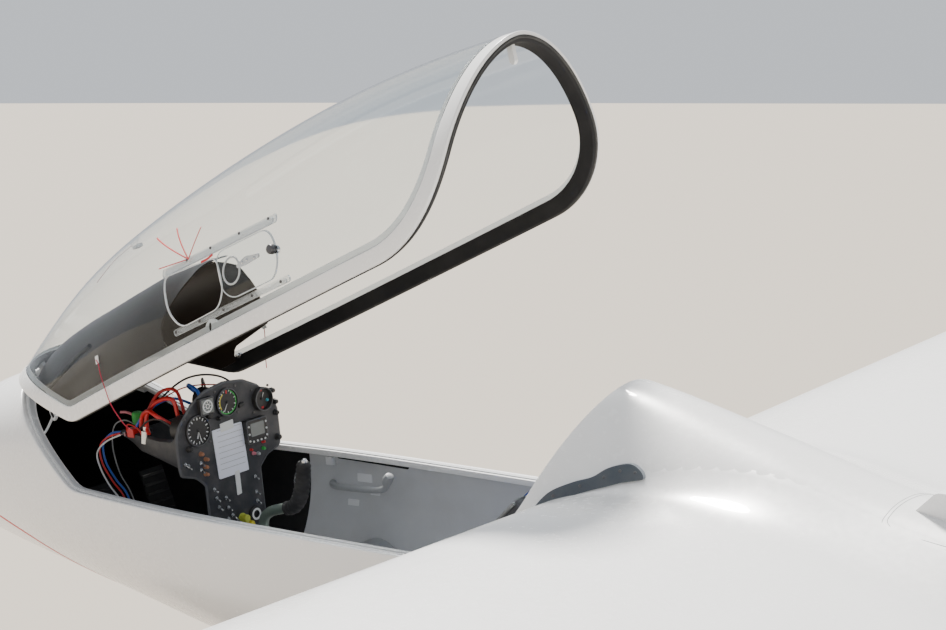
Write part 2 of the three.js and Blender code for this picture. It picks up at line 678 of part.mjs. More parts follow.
// A box along the airbrake's line in the wing, between two heights off the wing's middle line.
function brakeSpace(side, halfWidth, low, high, grow) {
  const ends = [airbrake.from - grow, airbrake.to + grow];
  const rings = ends.map((y) => {
    const [x, , z] = wingPoint(y, airbrake.chordAt, side).at;
    return [
      [x - halfWidth, side * y, z + low],
      [x + halfWidth, side * y, z + low],
      [x + halfWidth, side * y, z + high],
      [x - halfWidth, side * y, z + high],
    ];
  });
  return loft(rings);
}

const skidOutline = [
  [-tipSkid.halfLength, 60], [-60, 12], [-30, 0], [40, 0], [70, 14], [tipSkid.halfLength, 60],
  [tipSkid.halfLength, 84], [-tipSkid.halfLength, 84],
].map(([x, z]) => [tipSkid.x + x, tipSkid.bottom + z]);

for (const [side, name] of sides) {
  const outboard = box(1900, 3400, ...onSide(side, jointY, 7000), 500, 1400);
  const wingWhole = wholeWings[side < 0 ? 0 : 1].intersect(outboard);
  const [inner, tip] = [aileron.from, aileron.to].map((y) => wingPoint(y, aileron.hingeAt, side).at);
  const pins = [
    pinAndBore(alongLine(inner, tip, -12), alongLine(inner, tip, 14)),
    pinAndBore(alongLine(tip, inner, -12), alongLine(tip, inner, 14)),
  ];
  const [x, y, z] = wingPoint((airbrake.from + airbrake.to) / 2, airbrake.chordAt, side).at;
  const guide = pinAndBore([x, y, z - 50], [x, y, z - 6]);
  const wing = wingWhole
    .subtract(aileronSpace(1, clearance, side, aileron.from - clearance, aileron.to + clearance))
    .subtract(brakeSpace(side, airbrake.width / 2 + clearance, -42, 200, clearance))
    .add(pins[0].pin)
    .add(pins[1].pin)
    .add(guide.pin);
  add(`wing_${name}`, wing, "gelcoat");
  const flap = wingWhole
    .intersect(aileronSpace(0.92, 0, side, aileron.from, aileron.to))
    .subtract(pins[0].bore)
    .subtract(pins[1].bore);
  add(`aileron_${name}`, flap, "gelcoat");
  const cap = wingWhole.intersect(brakeSpace(side, airbrake.width / 2, 24, 200, 0));
  const blade = brakeSpace(side, airbrake.blade / 2, -34, 30, 0);
  add(`airbrake_${name}`, cap.add(blade).subtract(guide.bore), "gelcoat");
  const reach = onSide(side, tipSkid.y - tipSkid.halfWidth, tipSkid.y + tipSkid.halfWidth);
  const skid = sideSlab(skidOutline, ...reach).subtract(wingWhole.translate([0, 0, -seat]));
  add(`tip_skid_${name}`, lowest(skid), "rubber");
}

// Canopy, built closed on its seam: frame, glass with the clear-view opening, hinge, shield and window.
const canopySpace = aboveSeam(0);
const glassSpace = aboveSeam(frameBand);
const canopySkin = skin(0, 420, 2420, 22);
const frame = canopySkin
  .subtract(skin(frameDepth, 410, 2430, 22))
  .intersect(canopySpace.subtract(glassSpace));
add("canopy_frame", frame, "gelcoat", closedCanopy);
const clearViewOutline = [
  [1311, 940], [1494, 922], [1502, 882], [1502, 851], [1477, 820], [1341, 821], [1309, 866], [1306, 916],
];
const clearViewHole = sideSlab(clearViewOutline, -400, -100);
const glass = canopySkin
  .subtract(skin(glassDepth, 410, 2430, 22))
  .intersect(aboveSeam(frameBand + seat))
  .subtract(clearViewHole);
add("canopy_glass", glass, "glass", closedCanopy);
const armOutline = [
  [453, 908], [469, 906], [551, 882], [575, 890], [557, 956], [541, 956], [545, 902],
  [467, 924], [453, 922],
];
const hingeLine = [-96, 96].map((y) => [canopyHinge[0], y, canopyHinge[1]]);
const hingeTube = rod(...hingeLine, 7, 7, 20);
const hingeArms = sides.map(([side]) => sideSlab(armOutline, ...onSide(side, 65, 75)));
const canopyHingePart = hingeTube
  .add(hingeArms[0])
  .add(hingeArms[1])
  .subtract(frame.translate([0, 0, -seat]))
  .subtract(frame)
  .subtract(skin(frameDepth - 2, 410, 2430, 22).subtract(skin(frameDepth - 30, 400, 2440, 22)));
add("canopy_hinge", largest(canopyHingePart), "steel", closedCanopy);

// The shield's ridge: x and height.
const shieldTable = [
  [640, 958],
  [760, 976],
  [880, 986],
  [1000, 987],
  [1120, 985],
  [1240, 968],
];

function shieldRing(x, ridge, thickness, count = 32) {
  const [, halfWidth, , , widest] = between(fuselageTable, x);
  const ring = [];
  for (let i = 0; i < count; i += 1) {
    const angle = ((i + 0.5) / count) * 2 * Math.PI;
    const [across, up] = [Math.cos(angle), Math.sin(angle)];
    const power = 2 / lowerFullness;
    const rise = up > 0 ? ridge - thickness - widest : 60;
    const y = (halfWidth - frameDepth + 2 - thickness) * Math.sign(across) * Math.abs(across) ** power;
    ring.push([x, y, widest + rise * Math.sign(up) * Math.abs(up) ** power]);
  }
  return ring;
}
const shieldRear = [
  [600, 780], [872, 780], [886, 824], [1014, 826], [1039, 865], [1073, 905], [1098, 937], [1127, 961],
  [1165, 1100], [600, 1100],
];
const shieldHollow = shieldTable.map(([x, ridge], i) => {
  const end = { 0: -5, 5: 5 }[i] ?? 0;
  return shieldRing(x, ridge, 4).map(([, y, z]) => [x + end, y, z]);
});
const shield = loft(shieldTable.map(([x, ridge]) => shieldRing(x, ridge, 0)))
  .subtract(loft(shieldHollow))
  .intersect(sideSlab(shieldRear, -400, 400))
  .intersect(aboveSeam(8))
  .intersect(skin(frameDepth + seat, 410, 2430, 22));
add("glare_shield", largest(shield), "black", closedCanopy);
const windowSheet = (inset, depth) =>
  skin(inset, 1100, 1900, 10).subtract(skin(inset + depth, 1090, 1910, 10));
const paneOutline = [
  [1488, 931], [1655, 924], [1677, 908], [1687, 880], [1686, 847], [1664, 817], [1524, 822], [1495, 847],
];
const pane = windowSheet(glassDepth + 2 * seat, 4).intersect(sideSlab(paneOutline, -400, -100));
add("clear_view_window", pane, "glass", closedCanopy);
// Window rails: name, from x, to x, the height of the lower edge at each end, and the width.
const railTable = [
  ["upper", 1297, 1698, 941, 924, 18],
  ["lower", 1308, 1708, 811, 797, 14],
];
for (const [name, from, to, front, rear, width] of railTable) {
  const railOutline = [[from, front], [to, rear], [to, rear + width], [from, front + width]];
  const rail = windowSheet(glassDepth + 2 * seat, 9).intersect(sideSlab(railOutline, -400, -100));
  add(`window_rail_${name}`, rail, "glass", closedCanopy);
}

// Cockpit: seat, panel pod, instruments, controls and harness, fitted to the shell's inner side.
const cockpit = skin(shellWall + seat, 150, hollowEnd);
const band = (points, depth) => {
  const below = points.map(([x, z]) => [x, z - depth]).reverse();
  return sideSlab([...points, ...below], -300, 300);
};
const seatPanLine = [[1230, 528], [1300, 548], [1400, 508], [1540, 448], [1690, 440]];
const seatBackLine = [[1704, 447], [1800, 530], [2000, 694], [2204, 862]];
const floorLine = [[640, 560], [800, 520], [1222, 470]];
add("seat_pan", band(seatPanLine, 8).intersect(cockpit), "lining");
const insideLip = skin(lipDepth + seat, 150, hollowEnd);
const overWell = wellBlock(well.wall + seat, 300);
add("seat_back", band(seatBackLine, 10).intersect(insideLip).subtract(overWell), "lining");
const floor = band(floorLine, 6).intersect(cockpit);
add("cockpit_floor", floor, "lining");
const floorBelow = floor.translate([0, 0, seat]).add(floor);
const cushionLine = [[1716, 462], [1800, 536], [2000, 700], [2160, 832]];
const cushionSides = [
  ...cushionLine.map(([x, z]) => [x - 22, z + 26]),
  ...cushionLine.map(([x, z]) => [x, z - 12]).reverse(),
];
const cushion = sideSlab(cushionSides, -200, 200)
  .intersect(insideLip)
  .subtract(band(seatBackLine, 10).translate([0, 0, seat]))
  .subtract(band(seatBackLine, 60));
add("back_cushion", largest(cushion), "cushion");

const panelX = 1097;
const panelOutline = [
  [-88, 460], [88, 460], [88, 742], [112, 764], [156, 778], [160, 800], [160, 868], [148, 894], [104, 936],
  [60, 958], [0, 966], [-60, 958], [-104, 936], [-148, 894], [-160, 868], [-160, 800], [-156, 778],
  [-112, 764], [-88, 742],
];
// Instruments: name, y, z, radius of the face, radius and depth of the can behind the panel.
const dials = [
  ["altimeter", -94, 873, 36, 31, 60],
  ["airspeed_indicator", 2, 917, 33, 29, 86],
  ["compass_dial", 108, 900, 28, 24, 40],
];
const cans = dials.map(([, y, z, , radius, depth]) => [[panelX - depth, y, z], [panelX + 1, y, z], radius]);
const panel = frontSlab(panelOutline, panelX - 4, panelX).subtract(floorBelow);
const drilled = cans.reduce((plate, [a, b, r]) => plate.subtract(rod(a, b, r + seat, r + seat, 20)), panel);
add("instrument_panel", largest(drilled.intersect(cockpit)), "panel");
const podBox = (inset) => {
  const ring = (x, half, low, high) => [
    [x, half, low],
    [x, half, high],
    [x, -half, high],
    [x, -half, low],
  ];
  return loft([
    ring(848 + inset, 112 - inset, 834 + inset, 856 + 2 * inset),
    ring(panelX - 4 - seat, 150 - inset, 782 + inset, 900 + 2 * inset),
  ]);
};
const instrumentPod = podBox(0).subtract(podBox(4)).subtract(box(700, 1200, -300, 300, 880, 1000));
add("instrument_pod", largest(instrumentPod), "panel");

dials.forEach(([name, y, z, radius], i) => {
  const face = rod([panelX + seat, y, z], [panelX + 7, y, z], radius, radius, 24);
  const [from, to, canRadius] = cans[i];
  add(name, face.add(rod(from, to, canRadius, canRadius, 20)), "black");
});
add("radio", box(panelX + seat, panelX + 12, -78, -36, 908, 948), "black");
add("logger_display", box(panelX + seat, panelX + 16, 48, 112, 806, 862), "black");
add("task_card", box(panelX + seat, panelX + 2.5, -46, 46, 748, 872), "paper");

const stickPath = [[1180, 0, 478], [1185, 0, 560], [1205, 0, 640], [1262, 0, 688], [1300, 0, 720]];
const grip = cane([[1294, 0, 714], [1316, 0, 750], [1330, 0, 800], [1332, 0, 830]], 17, 6);
const stick = cane(stickPath, 12, 10).add(rod([1180, 0, 470], [1180, 0, 500], 32, 14)).add(grip);
add("control_stick", largest(stick.subtract(floorBelow)), "stick");
for (const [side, name] of sides) {
  const pedalOutline = [[742, 560], [748, 557], [702, 700], [696, 698]];
  const plate = sideSlab(pedalOutline, ...onSide(side, 46, 120));
  const foot = box(736, 760, ...onSide(side, 75, 91), 515, 575);
  add(`rudder_pedal_${name}`, largest(plate.add(foot).subtract(floorBelow)), "steel");
}
// The levers on the side walls: the airbrake's on the left, the landing gear's on the right.
const brakeLever = [
  [1310, -320, 640], [1345, -262, 640], [1400, -240, 640], [1520, -236, 650], [1560, -232, 690],
];
const gearLever = [
  [1110, 320, 660], [1145, 262, 660], [1200, 238, 664], [1330, 236, 672], [1360, 232, 700],
];
add("airbrake_lever", cane(brakeLever, 8, 10).intersect(cockpit), "strap");
add("gear_lever", cane(gearLever, 8, 10).intersect(cockpit), "black");

// Harness: shoulder straps over the back cushion and lap straps on the seat pan.
const shoulderOutline = [
  [2150, 872], [2030, 772], [1900, 660], [1800, 600], [1790, 610], [1892, 672], [2024, 784], [2146, 884],
];
const cushionUnder = cushion.translate([-seat, 0, seat]).add(cushion);
const lapLine = seatPanLine.slice(2).map(([x, z]) => [x, z + seat + 3]);
for (const [side, name] of sides) {
  const shoulder = sideSlab(shoulderOutline, ...onSide(side, 68, 116)).subtract(cushionUnder);
  add(`shoulder_strap_${name}`, largest(shoulder), "strap");
  const lap = band(lapLine, 3).intersect(box(1440, 1684, ...onSide(side, 120, 165), 300, 700));
  add(`lap_strap_${name}`, lap, "strap");
}

// The part's frame: the origin on the ground, under the middle of its bounding box.
const sailplane = new THREE.Group();
sailplane.add(airframe);
sailplane.updateMatrixWorld(true);
const bounds = new THREE.Box3().setFromObject(sailplane, true);
const middle = bounds.getCenter(new THREE.Vector3());
airframe.position.set(-middle.x, -middle.y, -bounds.min.z);

export default sailplane;
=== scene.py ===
# Single-seat aerobatic sailplane with its canopy raised, parked on main wheel, tail wheel and left tip skid.
import math

import bmesh
import bpy
import numpy as np
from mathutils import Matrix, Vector


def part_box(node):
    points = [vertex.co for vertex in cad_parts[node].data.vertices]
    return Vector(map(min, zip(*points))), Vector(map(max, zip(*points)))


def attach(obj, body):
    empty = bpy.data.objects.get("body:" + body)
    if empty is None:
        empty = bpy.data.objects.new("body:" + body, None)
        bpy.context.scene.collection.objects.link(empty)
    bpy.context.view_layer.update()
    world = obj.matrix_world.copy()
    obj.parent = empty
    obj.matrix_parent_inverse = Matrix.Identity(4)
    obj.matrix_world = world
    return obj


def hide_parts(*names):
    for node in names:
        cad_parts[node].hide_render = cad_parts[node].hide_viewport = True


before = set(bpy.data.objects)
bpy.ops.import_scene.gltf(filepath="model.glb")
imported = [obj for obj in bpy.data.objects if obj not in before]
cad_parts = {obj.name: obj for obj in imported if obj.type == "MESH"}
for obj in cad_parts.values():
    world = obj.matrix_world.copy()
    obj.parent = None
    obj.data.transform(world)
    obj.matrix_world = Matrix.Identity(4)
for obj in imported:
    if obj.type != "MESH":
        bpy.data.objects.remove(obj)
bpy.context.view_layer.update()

# Where the airframe stands. Its own axes run aft from the nose tip, to starboard and up from the ground with
# the wings level, in millimetres. It leans over onto its left tip, and the canopy is raised about its front
# hinge.
lean = math.radians(8.2)
hub = np.array([1.990, 0, 0.175])
hinge_x, hinge_z, opened = 460, 915, math.radians(22.5)
lean_turn = np.array(
    [[1, 0, 0], [0, math.cos(lean), -math.sin(lean)], [0, math.sin(lean), math.cos(lean)]]
)
stand = sum(np.array(corner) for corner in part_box("main_tyre")) / 2 - lean_turn @ hub


sides = (("left", -1), ("right", 1))


def placed(points):
    """Points on the airframe's axes, in the frame's metres."""
    return np.asarray(points, float).reshape(-1, 3) / 1000 @ lean_turn.T + stand


def lifted(points):
    """Points on the closed canopy, raised with it."""
    x, y, z = np.asarray(points, float).reshape(-1, 3).T
    x, z = x - hinge_x, z - hinge_z
    cosine, sine = math.cos(opened), math.sin(opened)
    return placed(np.stack([hinge_x + cosine * x - sine * z, y, hinge_z + sine * x + cosine * z], axis=1))


# Studio: a matte pale floor out to the horizon, a pale sky and one broad soft sun from ahead and to
# starboard. The camera stands at the photograph's place, behind the left wing, with a lens of about 95 mm.
def studio():
    """The floor, the sky and the sun."""
    floor = bpy.data.meshes.new("floor")
    reach = 600
    floor.from_pydata([(-reach, -reach, 0), (reach, -reach, 0), (reach, reach, 0), (-reach, reach, 0)], [],
                      [(0, 1, 2, 3)])
    paint = bpy.data.materials.new("floor_paint")
    paint.use_nodes = True
    shader = paint.node_tree.nodes["Principled BSDF"]
    shader.inputs["Base Color"].default_value = (0.40, 0.36, 0.31, 1)
    shader.inputs["Roughness"].default_value = 0.95
    shader.inputs["Specular IOR Level"].default_value = 0.1
    floor.materials.append(paint)
    ground = bpy.data.objects.new("floor", floor)
    bpy.context.scene.collection.objects.link(ground)
    world = bpy.data.worlds.new("sky")
    world.use_nodes = True
    world.node_tree.nodes["Background"].inputs["Color"].default_value = (0.84, 0.88, 0.94, 1)
    world.node_tree.nodes["Background"].inputs["Strength"].default_value = 0.85
    bpy.context.scene.world = world
    lamp = bpy.data.lights.new("sun", "SUN")
    lamp.energy, lamp.angle, lamp.color = 12.0, math.radians(9), (1.0, 0.97, 0.92)
    holder = bpy.data.objects.new("sun", lamp)
    holder.rotation_mode = "QUATERNION"
    holder.rotation_quaternion = Vector((0.45, -0.28, -0.85)).to_track_quat("-Z", "Y")
    bpy.context.scene.collection.objects.link(holder)


def camera():
    """The camera at the photograph's place."""
    photo_width, focal_pixels, film = 946, 2500, 36
    heading, dip = math.radians(48), math.radians(-4.96)
    eye = Vector((1.8855, -3.8191, 1.60))
    sight = Vector((-math.cos(heading) * math.cos(dip), math.sin(heading) * math.cos(dip), math.sin(dip)))
    lens = bpy.data.cameras.new("camera")
    lens.sensor_width = film
    lens.lens = focal_pixels / photo_width * film
    holder = bpy.data.objects.new("camera", lens)
    holder.location = eye
    holder.rotation_mode = "QUATERNION"
    holder.rotation_quaternion = sight.to_track_quat("-Z", "Y")
    bpy.context.scene.collection.objects.link(holder)
    bpy.context.scene.camera = holder


studio()
camera()


# Gelcoat: the white polyester surface of the whole airframe, sprayed in a mould and polished, so it is
# glossy with a very slight ripple, and a thin film of dust dulls it in patches. All later finishes but the
# clear ones are made by the same steps.
def surface(name, color, roughness, metallic=0.0, coat=0.0, more=()):
    """A new material with its Principled shader; `more` holds further (input, value) pairs."""
    made = bpy.data.materials.new(name)
    made.use_nodes = True
    shader = made.node_tree.nodes["Principled BSDF"]
    shader.inputs["Base Color"].default_value = (*color, 1)
    shader.inputs["Roughness"].default_value = roughness
    shader.inputs["Metallic"].default_value = metallic
    shader.inputs["Coat Weight"].default_value = coat
    for label, value in more:
        shader.inputs[label].default_value = value
    return made


def group(name, sockets_in, sockets_out):
    """An empty shader group with named inputs of (name, kind, value), and outputs of (name, kind)."""
    tree = bpy.data.node_groups.new(name, "ShaderNodeTree")
    for label, kind, value in sockets_in:
        tree.interface.new_socket(label, in_out="INPUT", socket_type=kind).default_value = value
    for label, kind in sockets_out:
        tree.interface.new_socket(label, in_out="OUTPUT", socket_type=kind)
    return tree, tree.nodes.new("NodeGroupInput"), tree.nodes.new("NodeGroupOutput")


def node(tree, kind, links=(), **settings):
    """A node with its settings, and inputs linked from (input, socket) or set from (input, value) pairs."""
    made = tree.nodes.new(kind)
    for key, value in settings.items():
        setattr(made, key, value)
    for sill_shade, source in links:
        if isinstance(source, bpy.types.NodeSocket):
            tree.links.new(source, made.inputs[sill_shade])
        else:
            made.inputs[sill_shade].default_value = source
    return made


def patina_group():
    """Large soft patches and fine grain: a colour, roughness and bump height that vary over the surface."""
    tree, entry, leave = group(
        "patina",
        [
            ("Color", "NodeSocketColor", (0.8, 0.8, 0.8, 1)),
            ("Dust", "NodeSocketColor", (0.6, 0.55, 0.48, 1)),
            ("Amount", "NodeSocketFloat", 0.1),
            ("Roughness", "NodeSocketFloat", 0.4),
            ("Spread", "NodeSocketFloat", 0.1),
            ("Patch Scale", "NodeSocketFloat", 3.0),
            ("Grain Scale", "NodeSocketFloat", 400.0),
        ],
        [("Color", "NodeSocketColor"), ("Roughness", "NodeSocketFloat"), ("Height", "NodeSocketFloat")],
    )
    where = node(tree, "ShaderNodeTexCoord").outputs["Object"]
    patch = node(tree, "ShaderNodeTexNoise",
                 [("Vector", where), ("Scale", entry.outputs["Patch Scale"]), ("Detail", 6.0),
                  ("Roughness", 0.6)])
    grain = node(tree, "ShaderNodeTexNoise",
                 [("Vector", where), ("Scale", entry.outputs["Grain Scale"]), ("Detail", 3.0)])
    dusty = node(tree, "ShaderNodeMapRange",
                 [("Value", patch.outputs["Fac"]), ("From Min", 0.42), ("From Max", 0.72)])
    share = node(tree, "ShaderNodeMath", [(0, dusty.outputs["Result"]), (1, entry.outputs["Amount"])],
                 operation="MULTIPLY")
    tint = node(tree, "ShaderNodeMix", [("Factor", share.outputs[0]), (6, entry.outputs["Color"]),
                                        (7, entry.outputs["Dust"])], data_type="RGBA")
    mixed = node(tree, "ShaderNodeMath", [(0, patch.outputs["Fac"]), (1, grain.outputs["Fac"])],
                 operation="ADD")
    centred = node(tree, "ShaderNodeMath", [(0, mixed.outputs[0]), (1, 1.0)], operation="SUBTRACT")
    rough = node(tree, "ShaderNodeMath",
                 [(0, centred.outputs[0]), (1, entry.outputs["Spread"]), (2, entry.outputs["Roughness"])],
                 operation="MULTIPLY_ADD", use_clamp=True)
    tree.links.new(tint.outputs[2], leave.inputs["Color"])
    tree.links.new(rough.outputs[0], leave.inputs["Roughness"])
    tree.links.new(grain.outputs["Fac"], leave.inputs["Height"])
    return tree


patina = patina_group()


def aged(finish, values, bump=0.0, distance=0.0004):
    """Joins the patina group to a finish's colour, roughness and bump."""
    tree = finish.node_tree
    shader = tree.nodes["Principled BSDF"]
    use = node(tree, "ShaderNodeGroup", node_tree=patina)
    use.inputs["Color"].default_value = shader.inputs["Base Color"].default_value
    use.inputs["Roughness"].default_value = shader.inputs["Roughness"].default_value
    for label, value in values.items():
        use.inputs[label].default_value = value
    tree.links.new(use.outputs["Color"], shader.inputs["Base Color"])
    tree.links.new(use.outputs["Roughness"], shader.inputs["Roughness"])
    if bump:
        relief = node(tree, "ShaderNodeBump", [("Strength", bump), ("Distance", distance),
                                               ("Height", use.outputs["Height"])])
        tree.links.new(relief.outputs["Normal"], shader.inputs["Normal"])
    return finish


gelcoat = aged(
    surface("gelcoat", (0.87, 0.87, 0.865), 0.26, coat=0.25),
    {"Dust": (0.70, 0.66, 0.60, 1), "Amount": 0.16, "Spread": 0.12, "Patch Scale": 2.2, "Grain Scale": 60.0},
    bump=0.02,
)


# Fuselage: one moulded shell from the nose to the tail wheel, lofted through oval sections, with the
# cockpit's rim, its inner wall and the wheel well. The rim is a stepped flange with a rounded outer edge.
fuselage_table = np.array([  # x, half width, top, bottom, height of the widest point, fullness above it
    (0, 0, 680, 680, 680, 2.12), (40, 62, 738, 628, 682, 2.12), (150, 126, 828, 580, 690, 2.12),
    (310, 187, 915, 540, 700, 2.12), (570, 231, 988, 492, 710, 2.28), (860, 267, 1083, 444, 714, 2.0),
    (1200, 292, 1117, 380, 712, 2.16), (1600, 294, 1130, 322, 706, 2.08), (1950, 286, 1112, 303, 704, 2.02),
    (2320, 259, 1055, 330, 704, 1.81), (2620, 235, 972, 410, 704, 1.88), (2900, 205, 893, 497, 704, 2.0),
    (3260, 160, 826, 576, 704, 2.12), (3600, 134, 788, 596, 694, 2.12), (4500, 108, 684, 524, 606, 2.12),
    (5500, 84, 574, 440, 508, 2.12), (6200, 68, 502, 388, 446, 2.12), (6500, 60, 474, 366, 420, 2.12),
], float)
lower_fullness = 2.12
seam_lines = [((554, 929), -32), ((900, 756), -0.75), ((2284, 1066), 62.6)]
seam_radii = [90, 262]
seam_steps = 150
wall, hollow_front, hollow_rear = 8, 150, 2470


def section(x):
    """The table's values at each x, smooth between its rows."""
    key = np.sqrt(fuselage_table[:, 0])
    slope = np.zeros_like(fuselage_table)
    slope[1:-1] = (fuselage_table[2:] - fuselage_table[:-2]) / (key[2:] - key[:-2])[:, None]
    slope[0] = (fuselage_table[1] - fuselage_table[0]) / (key[1] - key[0])
    slope[-1] = (fuselage_table[-1] - fuselage_table[-2]) / (key[-1] - key[-2])
    s = np.sqrt(np.clip(np.atleast_1d(np.asarray(x, float)), 0, None))
    i = np.clip(np.searchsorted(key, s) - 1, 0, len(key) - 2)
    width = (key[i + 1] - key[i])[:, None]
    t = (s - key[i])[:, None] / width
    rise = fuselage_table[i + 1] - fuselage_table[i]
    a, b = slope[i] * width, slope[i + 1] * width
    rows = fuselage_table[i] + a * t + (3 * rise - 2 * a - b) * t**2 + (a + b - 2 * rise) * t**3
    return rows[:, 1:].T


def beam(x, z, inset=0.0):
    """Half the fuselage's width at a height, on the skin moved in by `inset`."""
    half, top, bottom, widest, upper = section(x)
    full = np.where(z > widest, upper, lower_fullness)
    reach = np.where(z > widest, top - widest, widest - bottom) - inset
    part = np.clip(np.abs(z - widest) / reach, 0, 1)
    return (half - inset) * (1 - part**full) ** (1 / full)


def seam(offset):
    """The canopy's joint in side view moved inward by `offset`, as x and z at closely spaced points."""
    angles = [math.radians(slope) for _, slope in seam_lines]
    along = [np.array([math.cos(a), math.sin(a)]) for a in angles]
    path = []
    for corner, radius in enumerate(seam_radii):
        shifted = [
            np.array(seam_lines[i][0]) + radius * np.array([-along[i][1], along[i][0]])
            for i in (corner, corner + 1)
        ]
        before, after = along[corner], along[corner + 1]
        gap = shifted[1] - shifted[0]
        run = (gap[0] * after[1] - gap[1] * after[0]) / (before[0] * after[1] - before[1] * after[0])
        centre = shifted[0] + run * before
        for turn in np.linspace(angles[corner], angles[corner + 1], 40) - math.pi / 2:
            path.append(centre + (radius - offset) * np.array([math.cos(turn), math.sin(turn)]))
    high = 1300
    path.insert(0, path[0] - along[0] * (high - path[0][1]) / -along[0][1])
    path.append(path[-1] + along[2] * (high - path[-1][1]) / along[2][1])
    path = np.array(path)
    run = np.concatenate([[0], np.cumsum(np.linalg.norm(np.diff(path, axis=0), axis=1))])
    s = np.linspace(0, run[-1], 6000)
    return s, np.interp(s, run, path[:, 0]), np.interp(s, run, path[:, 1])


def seam_side(offset, inset):
    """The left half of the joint's line on the skin, from the top of the nose to the top behind the head."""
    s, x, z = seam(offset)
    top = section(x)[1]
    inside = np.flatnonzero(z < top - inset)
    ends = []
    for a, b in ((inside[0] - 1, inside[0]), (inside[-1], inside[-1] + 1)):
        high = z[[a, b]] - (top[[a, b]] - inset)
        ends.append(s[a] + (s[b] - s[a]) * high[0] / (high[0] - high[1]))
    spread = (1 - np.cos(np.pi * np.arange(seam_steps + 1) / seam_steps)) / 2
    spot = ends[0] + (ends[1] - ends[0]) * spread
    x, z = np.interp(spot, s, x), np.interp(spot, s, z)
    y = -beam(x, z, inset)
    y[[0, -1]] = 0
    return np.stack([x, y, z], axis=1)


def mirrored(left, closed=False):
    """The left half's points and their mirror images in turn; a closed ring names neither end twice."""
    right = (left * [1, -1, 1])[-2::-1]
    return np.concatenate([left, right[:-1] if closed else right])


def seam_loop(offset, inset):
    """One whole turn round the joint: aft along the left side and forward along the right."""
    return mirrored(seam_side(offset, inset), closed=True)


def hoop(x, high, inset, count, low=-math.pi / 2):
    """Half a section of the skin: the left side from one angle above the widest point down to another."""
    half, top, bottom, widest, upper = section(x)[:, 0]
    angle = np.linspace(high, low, count)
    power = 2 / np.where(angle > 0, upper, lower_fullness)
    reach = np.where(angle > 0, top - widest, widest - bottom) - inset
    y = -max(half - inset, 0) * np.abs(np.cos(angle)) ** power
    z = widest + np.maximum(reach, 0) * np.sign(np.sin(angle)) * np.abs(np.sin(angle)) ** power
    return np.stack([np.full(count, x), y, z], axis=1)


def seam_angle(point, inset):
    """The angle on the section's oval of a point of the joint."""
    _, top, _, widest, upper = section(point[0])[:, 0]
    part = np.clip((point[2] - widest) / (top - inset - widest), 0, 1)
    return math.asin(part ** (upper / 2))


def joined(rings, closed=False, wrapped=False, start=0):
    """Points and quads through rings of equally many points; `wrapped` joins the last ring to the first."""
    count = len(rings[0])
    faces = []
    for r in range(len(rings) if wrapped else len(rings) - 1):
        a, b = start + r * count, start + (r + 1) % len(rings) * count
        for i in range(count if closed else count - 1):
            j = (i + 1) % count
            faces.append((a + i, a + j, b + j, b + i))
    return np.concatenate(rings), faces


def creased(mesh, crease):
    """Smooth shading, with sharp edges where faces meet at more than the crease angle."""
    mesh.shade_smooth()
    mesh.set_sharp_from_angle(angle=math.radians(crease))


def shaped(name, points, faces, finishes, put=placed, crease=35, which=None, weld=2e-5):
    """A mesh object from points and faces: welded, its faces out, smooth up to the crease angle."""
    mesh = bpy.data.meshes.new(name)
    mesh.from_pydata(put(points).tolist(), [], [tuple(int(i) for i in face) for face in faces])
    for finish in finishes if isinstance(finishes, list) else [finishes]:
        mesh.materials.append(finish)
    if which is not None:
        mesh.polygons.foreach_set("material_index", which)
    work = bmesh.new()
    work.from_mesh(mesh)
    bmesh.ops.remove_doubles(work, verts=work.verts, dist=weld)
    bmesh.ops.dissolve_degenerate(work, edges=work.edges, dist=1e-6)
    bmesh.ops.recalc_face_normals(work, faces=work.faces)
    work.to_mesh(mesh)
    work.free()
    creased(mesh, crease)
    made = bpy.data.objects.new(name, mesh)
    bpy.context.scene.collection.objects.link(made)
    return made


def evaluated(piece):
    """The piece with its modifiers made final."""
    bpy.context.view_layer.update()
    made = bpy.data.meshes.new_from_object(piece.evaluated_get(bpy.context.evaluated_depsgraph_get()))
    piece.modifiers.clear()
    piece.data = made
    return piece


def carved(base, tool, how="DIFFERENCE", crease=35):
    """Cuts or joins one closed mesh with another, which is used up."""
    step = base.modifiers.new("carve", "BOOLEAN")
    step.operation, step.object, step.solver = how, tool, "MANIFOLD"
    evaluated(base)
    bpy.data.objects.remove(tool)
    creased(base.data, crease)
    return base


def brick(low, high):
    """Corners and faces of a box between two corners."""
    x, y, z = zip(low, high)
    points = [(x[i], y[j], z[k]) for i in (0, 1) for j in (0, 1) for k in (0, 1)]
    return points, [(0, 1, 3, 2), (4, 6, 7, 5), (0, 4, 5, 1), (2, 3, 7, 6), (0, 2, 6, 4), (1, 5, 7, 3)]


def block(name, low, high, finish, put=placed):
    """A closed box between two corners, as a piece or as a tool for carving."""
    return shaped(name, *brick(low, high), finish, put)


def lofted(name, rings, finish, put=placed, crease=35):
    """A closed solid through rings of equally many points, its ends filled between mirrored points."""
    points, faces = joined(rings, closed=True)
    count = len(rings[0])
    for first in (0, len(points) - count):
        for i in range((count - 1) // 2):
            mirror = count - 1 - i
            faces.append((first + i, first + i + 1, first + mirror - 1, first + mirror))
    return shaped(name, points, faces, finish, put, crease, weld=1e-5)


